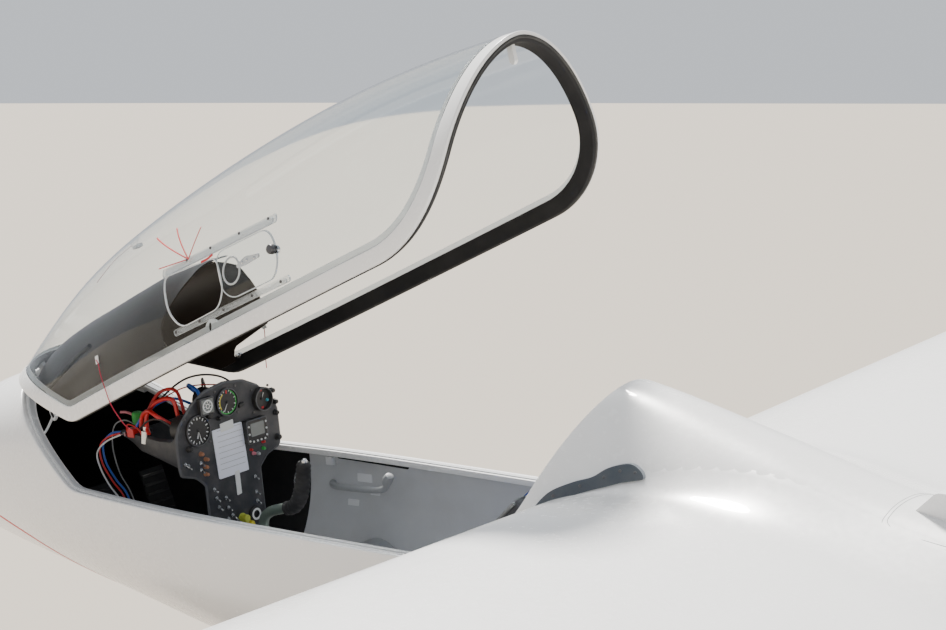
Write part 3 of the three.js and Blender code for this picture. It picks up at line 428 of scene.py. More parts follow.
def tube(name, start, end, radius, finish, end_radius=None, turns=48, put=placed):
    """A closed round bar or cone between two points."""
    start, end = np.array(start, float), np.array(end, float)
    axis = (end - start) / np.linalg.norm(end - start)
    side = np.cross(axis, [0, 0, 1] if abs(axis[2]) < 0.9 else [1, 0, 0])
    side /= np.linalg.norm(side)
    up = np.cross(axis, side)
    angle = np.linspace(0, 2 * math.pi, turns, endpoint=False)[:, None]
    ring = side * np.cos(angle) + up * np.sin(angle)
    end_radius = radius if end_radius is None else end_radius
    points = np.concatenate([start + ring * radius, end + ring * end_radius])
    faces = [(i, (i + 1) % turns, turns + (i + 1) % turns, turns + i) for i in range(turns)]
    faces += [tuple(range(turns)), tuple(range(turns, 2 * turns))]
    return shaped(name, points, faces, finish, put)


def slab(name, outline, low, high, finish, put=placed, axis=1, crease=35):
    """A flat outline made solid along one axis; its points are given on the other two axes, in order."""
    flat = np.array(outline, float)
    first, second = [i for i in range(3) if i != axis]
    points = np.zeros((2 * len(flat), 3))
    points[:, first] = np.tile(flat[:, 0], 2)
    points[:, second] = np.tile(flat[:, 1], 2)
    points[:, axis] = np.repeat([low, high], len(flat))
    count = len(flat)
    faces = [(i, (i + 1) % count, count + (i + 1) % count, count + i) for i in range(count)]
    faces += [tuple(range(count)), tuple(range(count, 2 * count))]
    return shaped(name, points, faces, finish, put, crease)


def copied(source, name):
    """A second object with its own copy of the mesh."""
    made = bpy.data.objects.new(name, source.data.copy())
    bpy.context.scene.collection.objects.link(made)
    return made


black_paint = aged(
    surface("cockpit_black", (0.010, 0.010, 0.011), 0.6, more=[("Specular IOR Level", 0.2)]),
    {"Dust": (0.045, 0.043, 0.04, 1), "Amount": 0.3, "Spread": 0.3, "Patch Scale": 9.0, "Grain Scale": 500.0},
    bump=0.25,
)
lining = aged(
    surface("cockpit_lining", (0.56, 0.57, 0.58), 0.6),
    {"Dust": (0.42, 0.40, 0.37, 1), "Amount": 0.3, "Spread": 0.25, "Patch Scale": 7.0, "Grain Scale": 260.0},
    bump=0.3,
)

# The rim's profile: how far outside the joint, and how far inside the skin, each of its corners lies.
rim_profile = [
    (-12, 0), (-10.4, 0.5), (-9.4, 1.4), (-9, 3), (-9, 8.4), (-9.4, 9), (-13, 9.2), (-13, 13.6), (-9.6, 14),
    (-9, 14.6), (-9, 32), (-9.6, 33.4), (-11, 34), (-21.6, 34), (-23, 33.2), (-23, wall),
]


def shell(inset, offset, front, rear, count, far_rows=()):
    """Rows of the fuselage's skin from the front to the rear, open above the cockpit's joint."""
    side = seam_side(offset, inset)
    lead = np.linspace(math.sqrt(front), math.sqrt(side[0, 0]), 46)[:-1] ** 2
    tail = np.linspace(side[-1, 0], rear, 24)[1:]
    rows = [(x, math.pi / 2) for x in lead]
    rows += [(point[0], seam_angle(point, inset)) for point in side]
    rows += [(x, math.pi / 2) for x in [*tail, *far_rows]]
    rings = []
    for x, high in rows:
        rings.append(mirrored(hoop(x, high, inset, count)))
    return rings


def fuselage():
    """The outer skin with a flat end at the tail, the inner wall, and the rim that joins them."""
    outside = shell(0, rim_profile[0][0], 0, 3260, 90, far_rows=np.linspace(3330, 6500, 60))
    inside = shell(wall, rim_profile[-1][0], hollow_front, hollow_rear, 60)
    rim = [seam_loop(offset, inset) for offset, inset in rim_profile]
    points, faces = joined(outside)
    which = [0] * len(faces)
    count = len(outside[0])
    faces.append(tuple(range(len(points) - count, len(points))))
    which.append(0)
    more, inner_faces = joined(inside, start=len(points))
    ends = [
        tuple(range(len(points), len(points) + len(inside[0]))),
        tuple(range(len(points) + len(more) - len(inside[0]), len(points) + len(more))),
    ]
    # Inner wall: black ahead of the panel and behind the seat back, painted shade for these closed hollows;
    # pale lining between them.
    for face in inner_faces + ends:
        x = np.mean([more[i - len(points), 0] for i in face])
        faces.append(face)
        which.append(1 if x < 1060 or x > 2400 else 2)
    points = np.concatenate([points, more])
    more, rim_faces = joined(rim, closed=True, start=len(points))
    faces += rim_faces
    which += [0] * len(rim_faces)
    points = np.concatenate([points, more])
    return shaped("fuselage", points, faces, [gelcoat, black_paint, lining], which=which, weld=6e-5)


body = fuselage()
well_from, well_to, well_half, well_top, well_foot, well_wall = 1812, 2196, 84, 505, 316, 6
mouth_top, under_belly = 420, 150
well = block("well", (well_from - well_wall, -well_half - well_wall, well_foot),
             (well_to + well_wall, well_half + well_wall, well_top + well_wall), lining)
carved(well, block("well_space", (well_from, -well_half, under_belly), (well_to, well_half, well_top),
                   lining))
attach(well, "airframe")
carved(body, block("well_mouth", (well_from, -well_half, under_belly), (well_to, well_half, mouth_top),
                   lining))


# Canopy frame: a white fibreglass band, 35 mm wide, round the canopy's edge. Its outside and the outer part
# of the joint's face are white, the rest and the inside black. A black rubber bead is glued into the joint's
# face, and a pale foam strip lies on the fuselage's rim below it, cut away where the hinge's arms pass.
frame_band, frame_depth = 35, 22
frame_profile = [
    (0, 3), (0.6, 1.2), (2, 0.2), (3.5, 0), (32, 0), (34, 0.3), (35, 1.5), (35, 5), (35, 20), (33.5, 22),
    (2, 22), (0, 20), (0, 9),
]
frame_sides = [0, 0, 0, 0, 0, 0, 0, 1, 1, 1, 1, 1, 0]
foam_profile = [(-9.3, 17), (-6.6, 18), (-6.4, 22), (-6.6, 28), (-9.3, 29)]
arm_inside, arm_outside, arm_from, arm_to, arm_low, arm_high = 58, 82, 470, 600, 855, 980


def painted(name, color, roughness, metallic=0.0, coat=0.0, wear=0.15, patches=8.0, grain=300.0, bump=0.1,
            more=()):
    """A finish of one colour with patches of dust and a fine grain."""
    dust = tuple(0.5 * part + 0.5 * dusty for part, dusty in zip(color, (0.42, 0.40, 0.36)))
    values = {"Dust": (*dust, 1), "Amount": wear, "Spread": 0.15, "Patch Scale": patches,
              "Grain Scale": grain}
    return aged(surface(name, color, roughness, metallic, coat, more), values, bump)


def fitted(piece, owner, sill_shade, *nodes):
    """Fixes a piece to its body and lets it stand for CAD nodes, which it hides; its slot is not used."""
    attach(piece, owner)
    if nodes:
        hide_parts(*nodes)
    return piece


def banded(name, profile, finishes, put, which=0):
    """A band of one section all round the canopy's joint; its corners are (offset, inset)."""
    rings = [seam_loop(offset, inset) for offset, inset in profile]
    points, faces = joined(rings, closed=True, wrapped=True)
    which = np.repeat(np.broadcast_to(which, len(rings)), len(rings[0]))
    return shaped(name, points, faces, finishes, put, crease=50, which=which)


bead_black = painted("seal_rubber", (0.012, 0.012, 0.013), 0.7, wear=0.3, bump=0.2)
foam_grey = painted("foam_strip", (0.50, 0.51, 0.52), 0.9, wear=0.3, grain=900.0, bump=0.5)
fitted(banded("canopy_frame_shell", frame_profile, [gelcoat, black_paint], lifted, frame_sides),
       "canopy", "gelcoat", "canopy_frame")
around = np.linspace(0, 2 * math.pi, 14, endpoint=False)
bead = [(-0.5 + 1.8 * math.cos(a), 11.5 + 3.4 * math.sin(a)) for a in around]
fitted(banded("canopy_seal", bead, bead_black, lifted), "canopy", "rubber")
rim_foam = banded("rim_seal", foam_profile, foam_grey, placed)
for low, high in ((-arm_outside, -arm_inside), (arm_inside, arm_outside)):
    carved(rim_foam, block("hinge_gap", (arm_from, low, arm_low), (arm_to, high, arm_high), foam_grey))
fitted(rim_foam, "airframe", "rubber")


# Canopy glass: one blown acrylic sheet bonded inside the frame, with the clear-view opening cut into its
# left side. The cut edges are frosted white, and the bonded margin shows as a slightly milky strip.
glass_thick, glass_rows, opening_corner = 3.4, 48, 34
margin_profile = [(35.5, 3.6), (48, 3.6), (48, 4.2), (35.5, 4.2)]
opening_outline = [
    (1311, 940), (1494, 922), (1502, 882), (1502, 851), (1477, 820), (1341, 821), (1309, 866), (1306, 916),
]


def cap(offset, inset, count):
    """Rows over the canopy's top from the joint's left side to its right."""
    return [mirrored(hoop(point[0], seam_angle(point, inset), inset, count, low=math.pi / 2))
            for point in seam_side(offset, inset)]


def glass_sheet():
    """The blown sheet's points and faces: its outer and inner sides, and its long edges."""
    outer, inner = (cap(frame_band + 0.3, inset, glass_rows) for inset in (0, glass_thick))
    points, faces = joined(outer)
    more, inner_faces = joined(inner, start=len(points))
    faces += inner_faces
    count, rows = len(outer[0]), len(outer)
    for edge in (0, count - 1):
        for r in range(rows - 1):
            a, b = r * count + edge, (r + 1) * count + edge
            faces.append((a, b, b + len(points), a + len(points)))
    return np.concatenate([points, more]), faces


def even(line, count):
    """Evenly spaced points along a polyline."""
    line = np.asarray(line, float)
    run = np.concatenate([[0], np.cumsum(np.linalg.norm(np.diff(line, axis=0), axis=1))])
    spot = np.linspace(0, run[-1], count)
    return np.stack([np.interp(spot, run, axis) for axis in line.T], axis=1)


def rounded(outline, radius, count=120):
    """A closed outline with its corners rounded off, as evenly spaced points."""
    outline = np.asarray(outline, float)
    made = []
    for i, corner in enumerate(outline):
        before, after = outline[i - 1] - corner, outline[(i + 1) % len(outline)] - corner
        reach = min(radius, np.linalg.norm(before) / 2.05, np.linalg.norm(after) / 2.05)
        start = corner + before / np.linalg.norm(before) * reach
        end = corner + after / np.linalg.norm(after) * reach
        for t in np.linspace(0, 1, 9):
            made.append((1 - t) ** 2 * start + 2 * t * (1 - t) * corner + t * t * end)
    return even([*made, made[0]], count + 1)[:-1]


def on_skin(flat, inset, side=-1):
    """Side-view points on the skin moved in by `inset`."""
    x, z = np.asarray(flat, float).T
    return np.stack([x, side * beam(x, z, inset), z], axis=1)


def paired(finishes):
    """A plate's two finishes, for its faces and its edge; one alone serves both."""
    return finishes if isinstance(finishes, list) else [finishes, finishes]


def skin_plate(name, outline, high, low, finishes, put, side=-1):
    """A plate that follows the skin between two depths; its edge takes the second finish."""
    middle = outline.mean(axis=0)
    shares = [0, 0.2, 0.4, 0.6, 0.8, 0.93, 1]
    rings = [on_skin(middle + (outline - middle) * share, high, side) for share in shares]
    rings += [on_skin(middle + (outline - middle) * share, low, side) for share in shares[::-1]]
    points, faces = joined(rings, closed=True)
    which = np.repeat([0] * 6 + [1] + [0] * 6, len(outline))
    return shaped(name, points, faces, paired(finishes), put, crease=40, which=which)


def flat_normals(line, closed=False):
    """Unit vectors to the left of a flat line, one at each of its points."""
    along = np.roll(line, -1, axis=0) - np.roll(line, 1, axis=0) if closed else np.gradient(line, axis=0)
    along /= np.linalg.norm(along, axis=1)[:, None]
    return np.stack([-along[:, 1], along[:, 0]], axis=1)


def shrunk(outline, width):
    """A closed outline moved inward by a width."""
    inward = flat_normals(outline, closed=True)
    if ((outline.mean(axis=0) - outline) * inward).sum() < 0:
        inward = -inward
    return outline + inward * width


def skin_ring(name, outline, width, high, low, finish, put, side=-1):
    """A narrow closed frame along an outline on the skin, from the outline inward by its width."""
    inner = shrunk(outline, width)
    rings = [on_skin(line, inset, side) for line, inset in
             ((outline, high), (inner, high), (inner, low), (outline, low))]
    points, faces = joined(rings, closed=True, wrapped=True)
    return shaped(name, points, faces, finish, put, crease=40)


acrylic = surface("acrylic", (0.93, 0.96, 0.97), 0.02, more=[("Transmission Weight", 1.0), ("IOR", 1.16)])
frosted = painted("frosted_edge", (0.88, 0.90, 0.90), 0.4, wear=0.05, bump=0.1)
glass = shaped("canopy_sheet", *glass_sheet(), acrylic, lifted, crease=60)
hole = rounded(opening_outline, opening_corner)
carved(glass, slab("opening_cutter", hole, -400, -100, acrylic, lifted), crease=60)
fitted(glass, "canopy", "glass", "canopy_glass")
fitted(skin_ring("opening_edge", hole, -1.6, -0.3, 3.8, frosted, lifted), "canopy", "glass")
milky = surface("bonded_margin", (0.90, 0.93, 0.94), 0.35, more=[("Transmission Weight", 0.85)])
fitted(banded("glass_margin", margin_profile, milky, lifted), "canopy", "glass")


# Clear-view window: a curved acrylic pane that slides fore and aft behind the opening, between two clear
# channel rails screwed to the glass. It carries a white ring scoop on a bar and a metal knob to push it by.
pane_outline = [
    (1488, 931), (1655, 924), (1677, 908), (1687, 880), (1686, 847), (1664, 817), (1524, 822), (1495, 847),
]
# Depths under the outer skin, from and to: the pane, its frosted edge, the rails and their channels.
pane_depth, pane_edge_depth, rail_depth, channel_depth = (5.8, 9.4), (5.5, 6.2), (5.7, 9.6), (9.9, 13.8)
# Rails: name, from x, to x, height of the lower edge at each end, width.
rail_table = [("upper", 1297, 1698, 941, 924, 18), ("lower", 1308, 1708, 811, 797, 14)]


def smooth(points, count, closed=False):
    """Evenly spaced points on a smooth curve through a few points."""
    points = np.array(points, float)
    if closed:
        spread = np.vstack([points[-1:], points, points[:2]])
    else:
        spread = np.vstack([2 * points[:1] - points[1:2], points, 2 * points[-1:] - points[-2:-1]])
    t = np.linspace(0, 1, 24, endpoint=False)[:, None]
    fine = []
    for a, b, c, d in zip(spread, spread[1:], spread[2:], spread[3:]):
        square, cube = 2 * a - 5 * b + 4 * c - d, 3 * b - a - 3 * c + d
        fine.append(0.5 * (2 * b + (c - a) * t + square * t**2 + cube * t**3))
    line = even(np.vstack([*fine, spread[-2][None]]), count + closed)
    return line[:count]


def rod(name, line, radius, finish, put=placed, sides=14, closed=False):
    """A round rod, tube or cable along closely spaced points; its radius is one number, or one a point."""
    line = np.asarray(line, float)
    along = np.roll(line, -1, axis=0) - np.roll(line, 1, axis=0) if closed else np.gradient(line, axis=0)
    along /= np.linalg.norm(along, axis=1)[:, None]
    side = np.cross(along[0], [0, 0, 1] if abs(along[0][2]) < 0.9 else [1, 0, 0])
    angle = (np.arange(sides) + 0.5) / sides * 2 * math.pi
    rings = []
    for point, axis, reach in zip(line, along, np.broadcast_to(radius, len(line))):
        side = side - axis * (side @ axis)
        side /= np.linalg.norm(side)
        up = np.cross(axis, side)
        rings.append(point + reach * (np.cos(angle)[:, None] * side + np.sin(angle)[:, None] * up))
    if not closed:
        return lofted(name, rings, finish, put, crease=50)
    points, faces = joined(rings, closed=True, wrapped=True)
    return shaped(name, points, faces, finish, put, crease=50)


def turned(name, centre, axis, profile, finishes, put=placed, turns=32, which=0, hollow=False, crease=35):
    """A piece turned about an axis from a profile of (distance along it, radius)."""
    axis = np.array(axis, float) / np.linalg.norm(axis)
    side = np.cross(axis, [0, 0, 1] if abs(axis[2]) < 0.9 else [1, 0, 0])
    side /= np.linalg.norm(side)
    up = np.cross(axis, side)
    angle = np.arange(turns)[:, None] / turns * 2 * math.pi
    around = np.cos(angle) * side + np.sin(angle) * up
    rings = [np.array(centre, float) + axis * reach + radius * around for reach, radius in profile]
    points, faces = joined(rings, closed=True, wrapped=hollow)
    count = len(rings) if hollow else len(rings) - 1
    return shaped(name, points, faces, finishes, put, crease,
                  which=np.repeat(np.broadcast_to(which, count), turns))


def bench(points):
    """Points of a small unit in its own millimetres, to be repeated elsewhere."""
    return np.asarray(points, float) / 1000


def repeat_tree():
    """Copies of a unit on points that carry their own turn, made into one mesh with one finish."""
    tree = bpy.data.node_groups.new("repeat_units", "GeometryNodeTree")
    for label, kind in (("Points", "Geometry"), ("Unit", "Object"), ("Finish", "Material")):
        tree.interface.new_socket(label, in_out="INPUT", socket_type=f"NodeSocket{kind}")
    tree.interface.new_socket("Geometry", in_out="OUTPUT", socket_type="NodeSocketGeometry")
    entry, leave = tree.nodes.new("NodeGroupInput"), tree.nodes.new("NodeGroupOutput")
    unit = node(tree, "GeometryNodeObjectInfo", [("Object", entry.outputs["Unit"])])
    turn = node(tree, "GeometryNodeInputNamedAttribute", [("Name", "turn")], data_type="FLOAT_VECTOR")
    spin = node(tree, "FunctionNodeEulerToRotation", [("Euler", turn.outputs["Attribute"])])
    copies = node(tree, "GeometryNodeInstanceOnPoints",
                  [("Points", entry.outputs["Points"]), ("Instance", unit.outputs["Geometry"]),
                   ("Rotation", spin.outputs["Rotation"])])
    whole = node(tree, "GeometryNodeRealizeInstances", [("Geometry", copies.outputs["Instances"])])
    dressed = node(tree, "GeometryNodeSetMaterial",
                   [("Geometry", whole.outputs["Geometry"]), ("Material", entry.outputs["Finish"])])
    tree.links.new(dressed.outputs["Geometry"], leave.inputs["Geometry"])
    return tree


repeat_units = repeat_tree()


def finished(piece, finish):
    """Gives a piece one finish all over."""
    piece.data.materials.clear()
    piece.data.materials.append(finish)


def repeated(name, unit, places, axes, finish, put=placed):
    """A unit piece, whose own axis is z, repeated at many places with its axis turned each time."""
    spots = put(places)
    turns = [Vector(tip - spot).to_track_quat("Z", "Y").to_euler()
             for spot, tip in zip(spots, put(np.array(places, float) + np.array(axes, float)))]
    cloud = bpy.data.meshes.new(name)
    cloud.from_pydata(spots.tolist(), [], [])
    cloud.attributes.new("turn", "FLOAT_VECTOR", "POINT").data.foreach_set("vector", np.array(turns).ravel())
    made = bpy.data.objects.new(name, cloud)
    bpy.context.scene.collection.objects.link(made)
    step = made.modifiers.new("repeat", "NODES")
    step.node_group = repeat_units
    sockets = {item.name: item.identifier
               for item in repeat_units.interface.items_tree if item.in_out == "INPUT"}
    step[sockets["Unit"]] = unit
    step[sockets["Finish"]] = finish
    evaluated(made)
    bpy.data.objects.remove(unit)
    finished(made, finish)
    creased(made.data, 35)
    return made


def studs(name, profile, places, axes, finish, put=placed, turns=16):
    """Small turned parts, all alike, such as screws, as one piece."""
    head = turned("stud", (0, 0, 0), (0, 0, 1), profile, finish, bench, turns)
    return repeated(name, head, places, axes, finish, put)


def side_normals(places, side=-1):
    """Directions straight out of the skin at side-view points."""
    x, z = np.asarray(places, float).T
    run = (beam(x + 4, z) - beam(x - 4, z)) / 8
    rise = (beam(x, z + 4) - beam(x, z - 4)) / 8
    return np.stack([-run, np.full(len(x), side), -rise], axis=1)


steel = painted("bright_steel", (0.55, 0.56, 0.57), 0.22, metallic=1.0, wear=0.1, bump=0.05)
dark_steel = painted("dark_screw", (0.10, 0.10, 0.105), 0.4, metallic=0.8, wear=0.2)
clear_rail = surface("rail_acrylic", (0.92, 0.94, 0.96), 0.08, more=[("Transmission Weight", 0.85)])
white_plastic = painted("white_plastic", (0.82, 0.83, 0.83), 0.4, wear=0.08, bump=0.05)
pane = rounded(pane_outline, 30)
fitted(skin_plate("clear_view_pane", pane, *pane_depth, [acrylic, frosted], lifted), "canopy", "glass",
       "clear_view_window")
fitted(skin_ring("pane_edge", pane, 2.2, *pane_edge_depth, frosted, lifted), "canopy", "glass")
for name, start, end, front, rear, width in rail_table:
    slope = (rear - front) / (end - start)
    strip = rounded([(start, front), (end, rear), (end, rear + width), (start, front + width)], 5)
    inner = [(start + 8, front + 8 * slope + 1), (end - 14, rear - 14 * slope + 1)]
    inner += [(x, z + width - 5) for x, z in inner[::-1]]
    fitted(skin_plate(f"rail_{name}", strip, *rail_depth, [clear_rail, frosted], lifted), "canopy", "glass",
           f"window_rail_{name}")
    fitted(skin_plate(f"rail_channel_{name}", rounded(inner, 3), *channel_depth, [clear_rail, frosted],
                      lifted), "canopy", "glass")
screws = [(1395, 950), (1480, 947), (1580, 943), (1679, 939), (1321, 818), (1407, 814), (1491, 811),
          (1589, 808), (1685, 805)]
head = [(-1, 0), (-1, 3.4), (0.4, 3.4), (1.2, 2.6), (1.2, 1.2), (0.5, 1.1), (0.5, 0)]
fitted(studs("rail_screws", head, on_skin(screws, 0), side_normals(screws), dark_steel, lifted), "canopy",
       "steel")

ring_centre, ring_reach = np.array([1540, 878]), 27.5
turn = np.linspace(0, 2 * math.pi, 48, endpoint=False)
ring = ring_centre + ring_reach * np.stack([np.cos(turn), np.sin(turn)], axis=1)
fitted(rod("scoop_ring", on_skin(ring, 2.4), 2.3, white_plastic, lifted, closed=True), "canopy", "gelcoat")
bar = rounded([(1560, 884), (1590, 891), (1634, 882), (1634, 874), (1590, 873), (1560, 876)], 3)
fitted(skin_plate("scoop_bar", bar, 1.4, 5.4, [white_plastic, frosted], lifted), "canopy", "glass")
bar_screws = [(1580, 882), (1596, 882), (1620, 878)]
head = [(-1, 0), (-1, 3), (1, 3), (1.6, 2), (1.6, 0)]
fitted(studs("bar_screws", head, on_skin(bar_screws, 1), side_normals(bar_screws), steel, lifted), "canopy",
       "steel")
knob_spot = [(1684, 872)]
knob_profile = [(-8, 0), (-8, 8), (-6, 9), (0, 9), (0, 4.5), (5, 4.5), (5, 9), (7, 10.5), (14, 10.5),
                (17, 9), (18, 0)]
fitted(turned("pane_knob", on_skin(knob_spot, 5.5)[0], side_normals(knob_spot)[0], knob_profile,
              [steel, dark_steel], lifted, which=[0, 0, 0, 0, 0, 1, 1, 1, 1, 1]), "canopy", "steel")


# Small things on the glass: a half-round white finger tab on the frame, fine red lines fanned out as a guide
# for the eye, and wool yarns under patches of white tape that show the air's flow. A clip sits at the arch's
# top, and a slotted bracket on each side of the cockpit's rim.
red_paint = painted("red_line", (0.62, 0.03, 0.035), 0.5, wear=0.05)
tape = painted("white_tape", (0.80, 0.81, 0.80), 0.6, wear=0.15, bump=0.3)
yarn_red = painted("wool_yarn", (0.50, 0.03, 0.07), 0.95, grain=1500.0, bump=0.6)


def ribbon(name, line, width, finish, put, high=-0.5, low=1.2, side=-1):
    """A thin strip on the skin along a side-view line, such as a stripe or a fine joint."""
    line = np.asarray(line, float)
    across = flat_normals(line) * width / 2
    edges = [on_skin(line + across, high, side), on_skin(line - across, high, side),
             on_skin(line - across, low, side), on_skin(line + across, low, side)]
    return lofted(name, list(np.stack(edges, axis=1)), finish, put, crease=50)


tab_centre, tab_reach = np.array([1438, 782]), 25
arc = np.linspace(0, math.pi, 40)
half_round = tab_centre + tab_reach * np.stack([np.cos(arc), np.sin(arc)], axis=1)
fitted(skin_plate("finger_tab", even([*half_round, half_round[0]], 121)[:-1], 3.7, 7.4,
                  [white_plastic, frosted], lifted), "canopy", "gelcoat")
# The tab's slot is a thin black plate on its face, painted shade for the opening.
tab_slot_shade = np.array([1433, 793]) + np.stack([4 * np.cos(turn) + 3 * np.sin(turn), 8 * np.sin(turn)], axis=1)
fitted(skin_plate("tab_hole", tab_slot_shade, 3.4, 3.9, black_paint, lifted), "canopy", "black")
fan_point = (1401, 950)
for number, tip in enumerate([(1259, 1039), (1342, 1033), (1443, 1003), (1289, 966)]):
    fitted(ribbon(f"sight_line_{number}", even([fan_point, tip], 24), 2.2, red_paint, lifted), "canopy", None)
fitted(ribbon("sight_arc", smooth([(1445, 929), (1466, 928), (1486, 931)], 20), 5, red_paint, lifted),
       "canopy", None)


def cord_piece(name, points, radius, finish, put, owner, sill_shade,
               count=60, sides=10):
    """A free cord along a smooth line."""
    line = smooth(points, count)
    piece = fitted(rod(name, line, radius, finish, put, sides), owner, sill_shade)
    path = put(line)
    return piece


for name, patch, points, side in (
    ("near", (1003, 855), [(1003, -265.3, 855), (1011, -269.5, 844), (1012, -275.5, 818), (1016, -281, 782),
                           (1017, -283, 760), (1018, -282, 742), (1018, -277, 721), (1021, -270, 695),
                           (1028, -262, 679)], -1),
    ("far", (970, 831), [(970, 267.6, 831), (952, 271.2, 802), (939, 273, 783), (926, 274, 764),
                         (913, 275, 737)], 1),
):
    across = np.array([(-7, -9), (7, -9), (7, 9), (-7, 9)]) + patch
    fitted(skin_plate(f"{name}_tape", rounded(across, 1.5), -0.4, 0.6, tape, lifted, side), "canopy",
           "paper")
    cord_piece(f"{name}_yarn", points, 1.1, yarn_red, lifted, "canopy", "rubber")
crown = np.linspace(790, 960, 9)
crown_line = np.stack([crown, 3 * np.sin(crown / 30) - 16, section(crown)[1] + 2.0], axis=1)
fitted(slab("string_tape", rounded([(952, -9), (972, -9), (972, 9), (952, 9)], 2), 1089, 1097.5, tape,
            lifted, axis=2), "canopy", "paper")
cord_piece("yaw_string", crown_line[::-1], 1.1, yarn_red, lifted, "canopy", "rubber")
fitted(slab("arch_clip", rounded([(2244, 1062), (2256, 1060), (2246, 1014), (2238, 1008), (2231, 1016)], 3),
            -5, 5, white_plastic, lifted), "canopy", "gelcoat")
for name, side, places in (("near", -1, [(630, 894), (669, 877)]), ("far", 1, [(562, 870), (592, 859)])):
    run = np.array(places[1]) - places[0]
    up = np.array([-run[1], run[0]]) / np.linalg.norm(run) * 5
    loop = rounded([places[0] - up, places[1] - up, places[1] + up, places[0] + up], 3)
    depth = 50 if side < 0 else 16
    fitted(skin_plate(f"rim_bracket_{name}", loop, depth, depth + 6, white_plastic, placed, side),
           "airframe", "gelcoat")
    middle = loop.mean(axis=0)
    # Each bracket's slot is a thin black plate on its face, painted shade for the opening.
    fitted(skin_plate(f"bracket_slot_{name}", middle + (loop - middle) * 0.6, depth - 0.4, depth + 0.4,
                      black_paint, placed, side), "airframe", "black")
arm = [on_skin([(650, 884)], 53)[0], on_skin([(650, 872)], 52)[0], on_skin([(654, 850)], 40)[0],
       on_skin([(658, 842)], 18)[0]]
fitted(rod("rim_bracket_arm", smooth(arm, 24), 3, white_plastic), "airframe", "gelcoat")


# Hood over the instruments: a thin black fibreglass shell fixed inside the canopy, which lifts with it. Its
# far side is cut away below with a slanting rear edge, its near side reaches further aft, and a demister
# tube runs along the near shoulder.
shield_table = [  # x, height of the ridge
    (560, 940), (640, 974), (760, 985), (880, 986), (1000, 987), (1120, 985), (1240, 968),
]
shield_from, shield_to, shield_thick, shield_corners = 620, 1280, 3.4, 96
beyond_hull = 420  # further out than any part of the fuselage
far_line = [
    (600, 780), (858, 780), (864, 796), (874, 806), (886, 812), (1014, 826), (1039, 865), (1073, 905),
    (1098, 937), (1127, 961), (1165, 1100), (600, 1100),
]
near_line = [
    (600, 780), (1090, 780), (1104, 797), (1128, 806), (1180, 798), (1222, 788), (1248, 792), (1229, 820),
    (1216, 846), (1222, 875), (1239, 898), (1262, 935), (1250, 962), (1165, 1000), (1165, 1100), (600, 1100),
]
# The hood's near-black colour has a warm brown tint, a painted reflection of the ground in the glass; the
# black itself is the hood's own.
shield_finish_painted_reflection = painted("hood_black_painted_reflection", (0.020, 0.015, 0.011), 0.32, wear=0.05, patches=5.0, grain=700.0,
                        bump=0.1, more=[("Specular IOR Level", 0.1)])


def skin_block(name, inset, front, rear, rows, finish, put):
    """All inside the skin moved in by `inset`, between two stations, as a tool for carving."""
    rings = [mirrored(hoop(x, math.pi / 2, inset, 60), closed=True) for x in np.linspace(front, rear, rows)]
    return lofted(name, rings, finish, put)


def seam_block(name, offset, finish, put):
    """All above the canopy's joint moved inward by `offset`, as a tool for carving."""
    _, x, z = seam(offset)
    return slab(name, np.stack([x, z], axis=1)[::15], -beyond_hull, beyond_hull, finish, put)


def shield_block(name, thickness, grow):
    """The hood's whole form, moved inward by a thickness and made longer at both ends."""
    ridge_line = smooth(shield_table, 60)
    rings = []
    angle = (np.arange(shield_corners) + 0.5) / shield_corners * 2 * math.pi
    across, rise = np.cos(angle), np.sin(angle)
    for x in np.linspace(shield_from, shield_to, 34):
        half, _, _, widest, _ = section(x)[:, 0]
        ridge = np.interp(x, ridge_line[:, 0], ridge_line[:, 1])
        power = 2 / lower_fullness
        y = (half - frame_depth + 2 - thickness) * np.sign(across) * np.abs(across) ** power
        reach = np.where(rise > 0, ridge - thickness - widest, 60)
        z = widest + reach * np.sign(rise) * np.abs(rise) ** power
        rings.append(np.stack([np.full(shield_corners, x), y, z], axis=1))
    rings[0][:, 0] -= grow
    rings[-1][:, 0] += grow
    return lofted(name, rings, shield_finish_painted_reflection, lifted)


shield = shield_block("hood", 0, 0)
carved(shield, shield_block("hood_hollow", shield_thick, 5))
outline = slab("hood_outline", near_line, -400, 1, shield_finish_painted_reflection, lifted)
carved(outline, slab("hood_outline_far", far_line, 0, 400, shield_finish_painted_reflection, lifted), "UNION")
carved(shield, outline, "INTERSECT")
carved(shield, seam_block("hood_joint", 8, shield_finish_painted_reflection, lifted), "INTERSECT")
carved(shield, skin_block("hood_space", frame_depth + 0.3, 420, 1400, 40, shield_finish_painted_reflection, lifted), "INTERSECT")
fitted(shield, "canopy", "black", "glare_shield")
demister = smooth([(690, -204, 850), (711, -211, 854), (810, -216, 873), (904, -222, 891), (960, -224, 896)],
                  40)
demister_tube = [(x, -beam(np.array([x]), np.array([z]), 11)[0], z) for x, _, z in demister]
fitted(rod("demister_tube", demister_tube, 5, bead_black, lifted), "canopy", "black")
for name, side in sides:
    place = on_skin([(879, 790)], 20, side)[0]
    fitted(turned(f"latch_pin_{name}", place, (0, -side, 0),
                  [(-1, 0), (-1, 6), (5, 6), (6, 4), (14, 4),
                   (15, 0)], steel, lifted, turns=20), "canopy", "steel")


# Wings: solid-looking fibreglass wings with a root fillet that flows into the fuselage, cut for the ailerons
# and the airbrakes. Sections are cambered, thickest near a third of the chord, and straight between the
# table's rows.
wing_table = np.array([  # distance from the centre line, leading edge x, chord, thickness ratio, incidence
    (331, 2200, 950, 0.16, 5.0), (1400, 2224, 898, 0.16, 5.0), (3600, 2274, 790, 0.155, 4.8),
    (5200, 2310, 580, 0.15, 4.4), (6350, 2336, 430, 0.14, 4.0), (6500, 2372, 356, 0.13, 4.0),
    (6580, 2430, 236, 0.12, 4.0), (6600, 2490, 120, 0.12, 4.0),
])
root_height, dihedral, camber = 832, math.tan(math.radians(1.75)), 0.02
fan, wing_steps = 6, 46


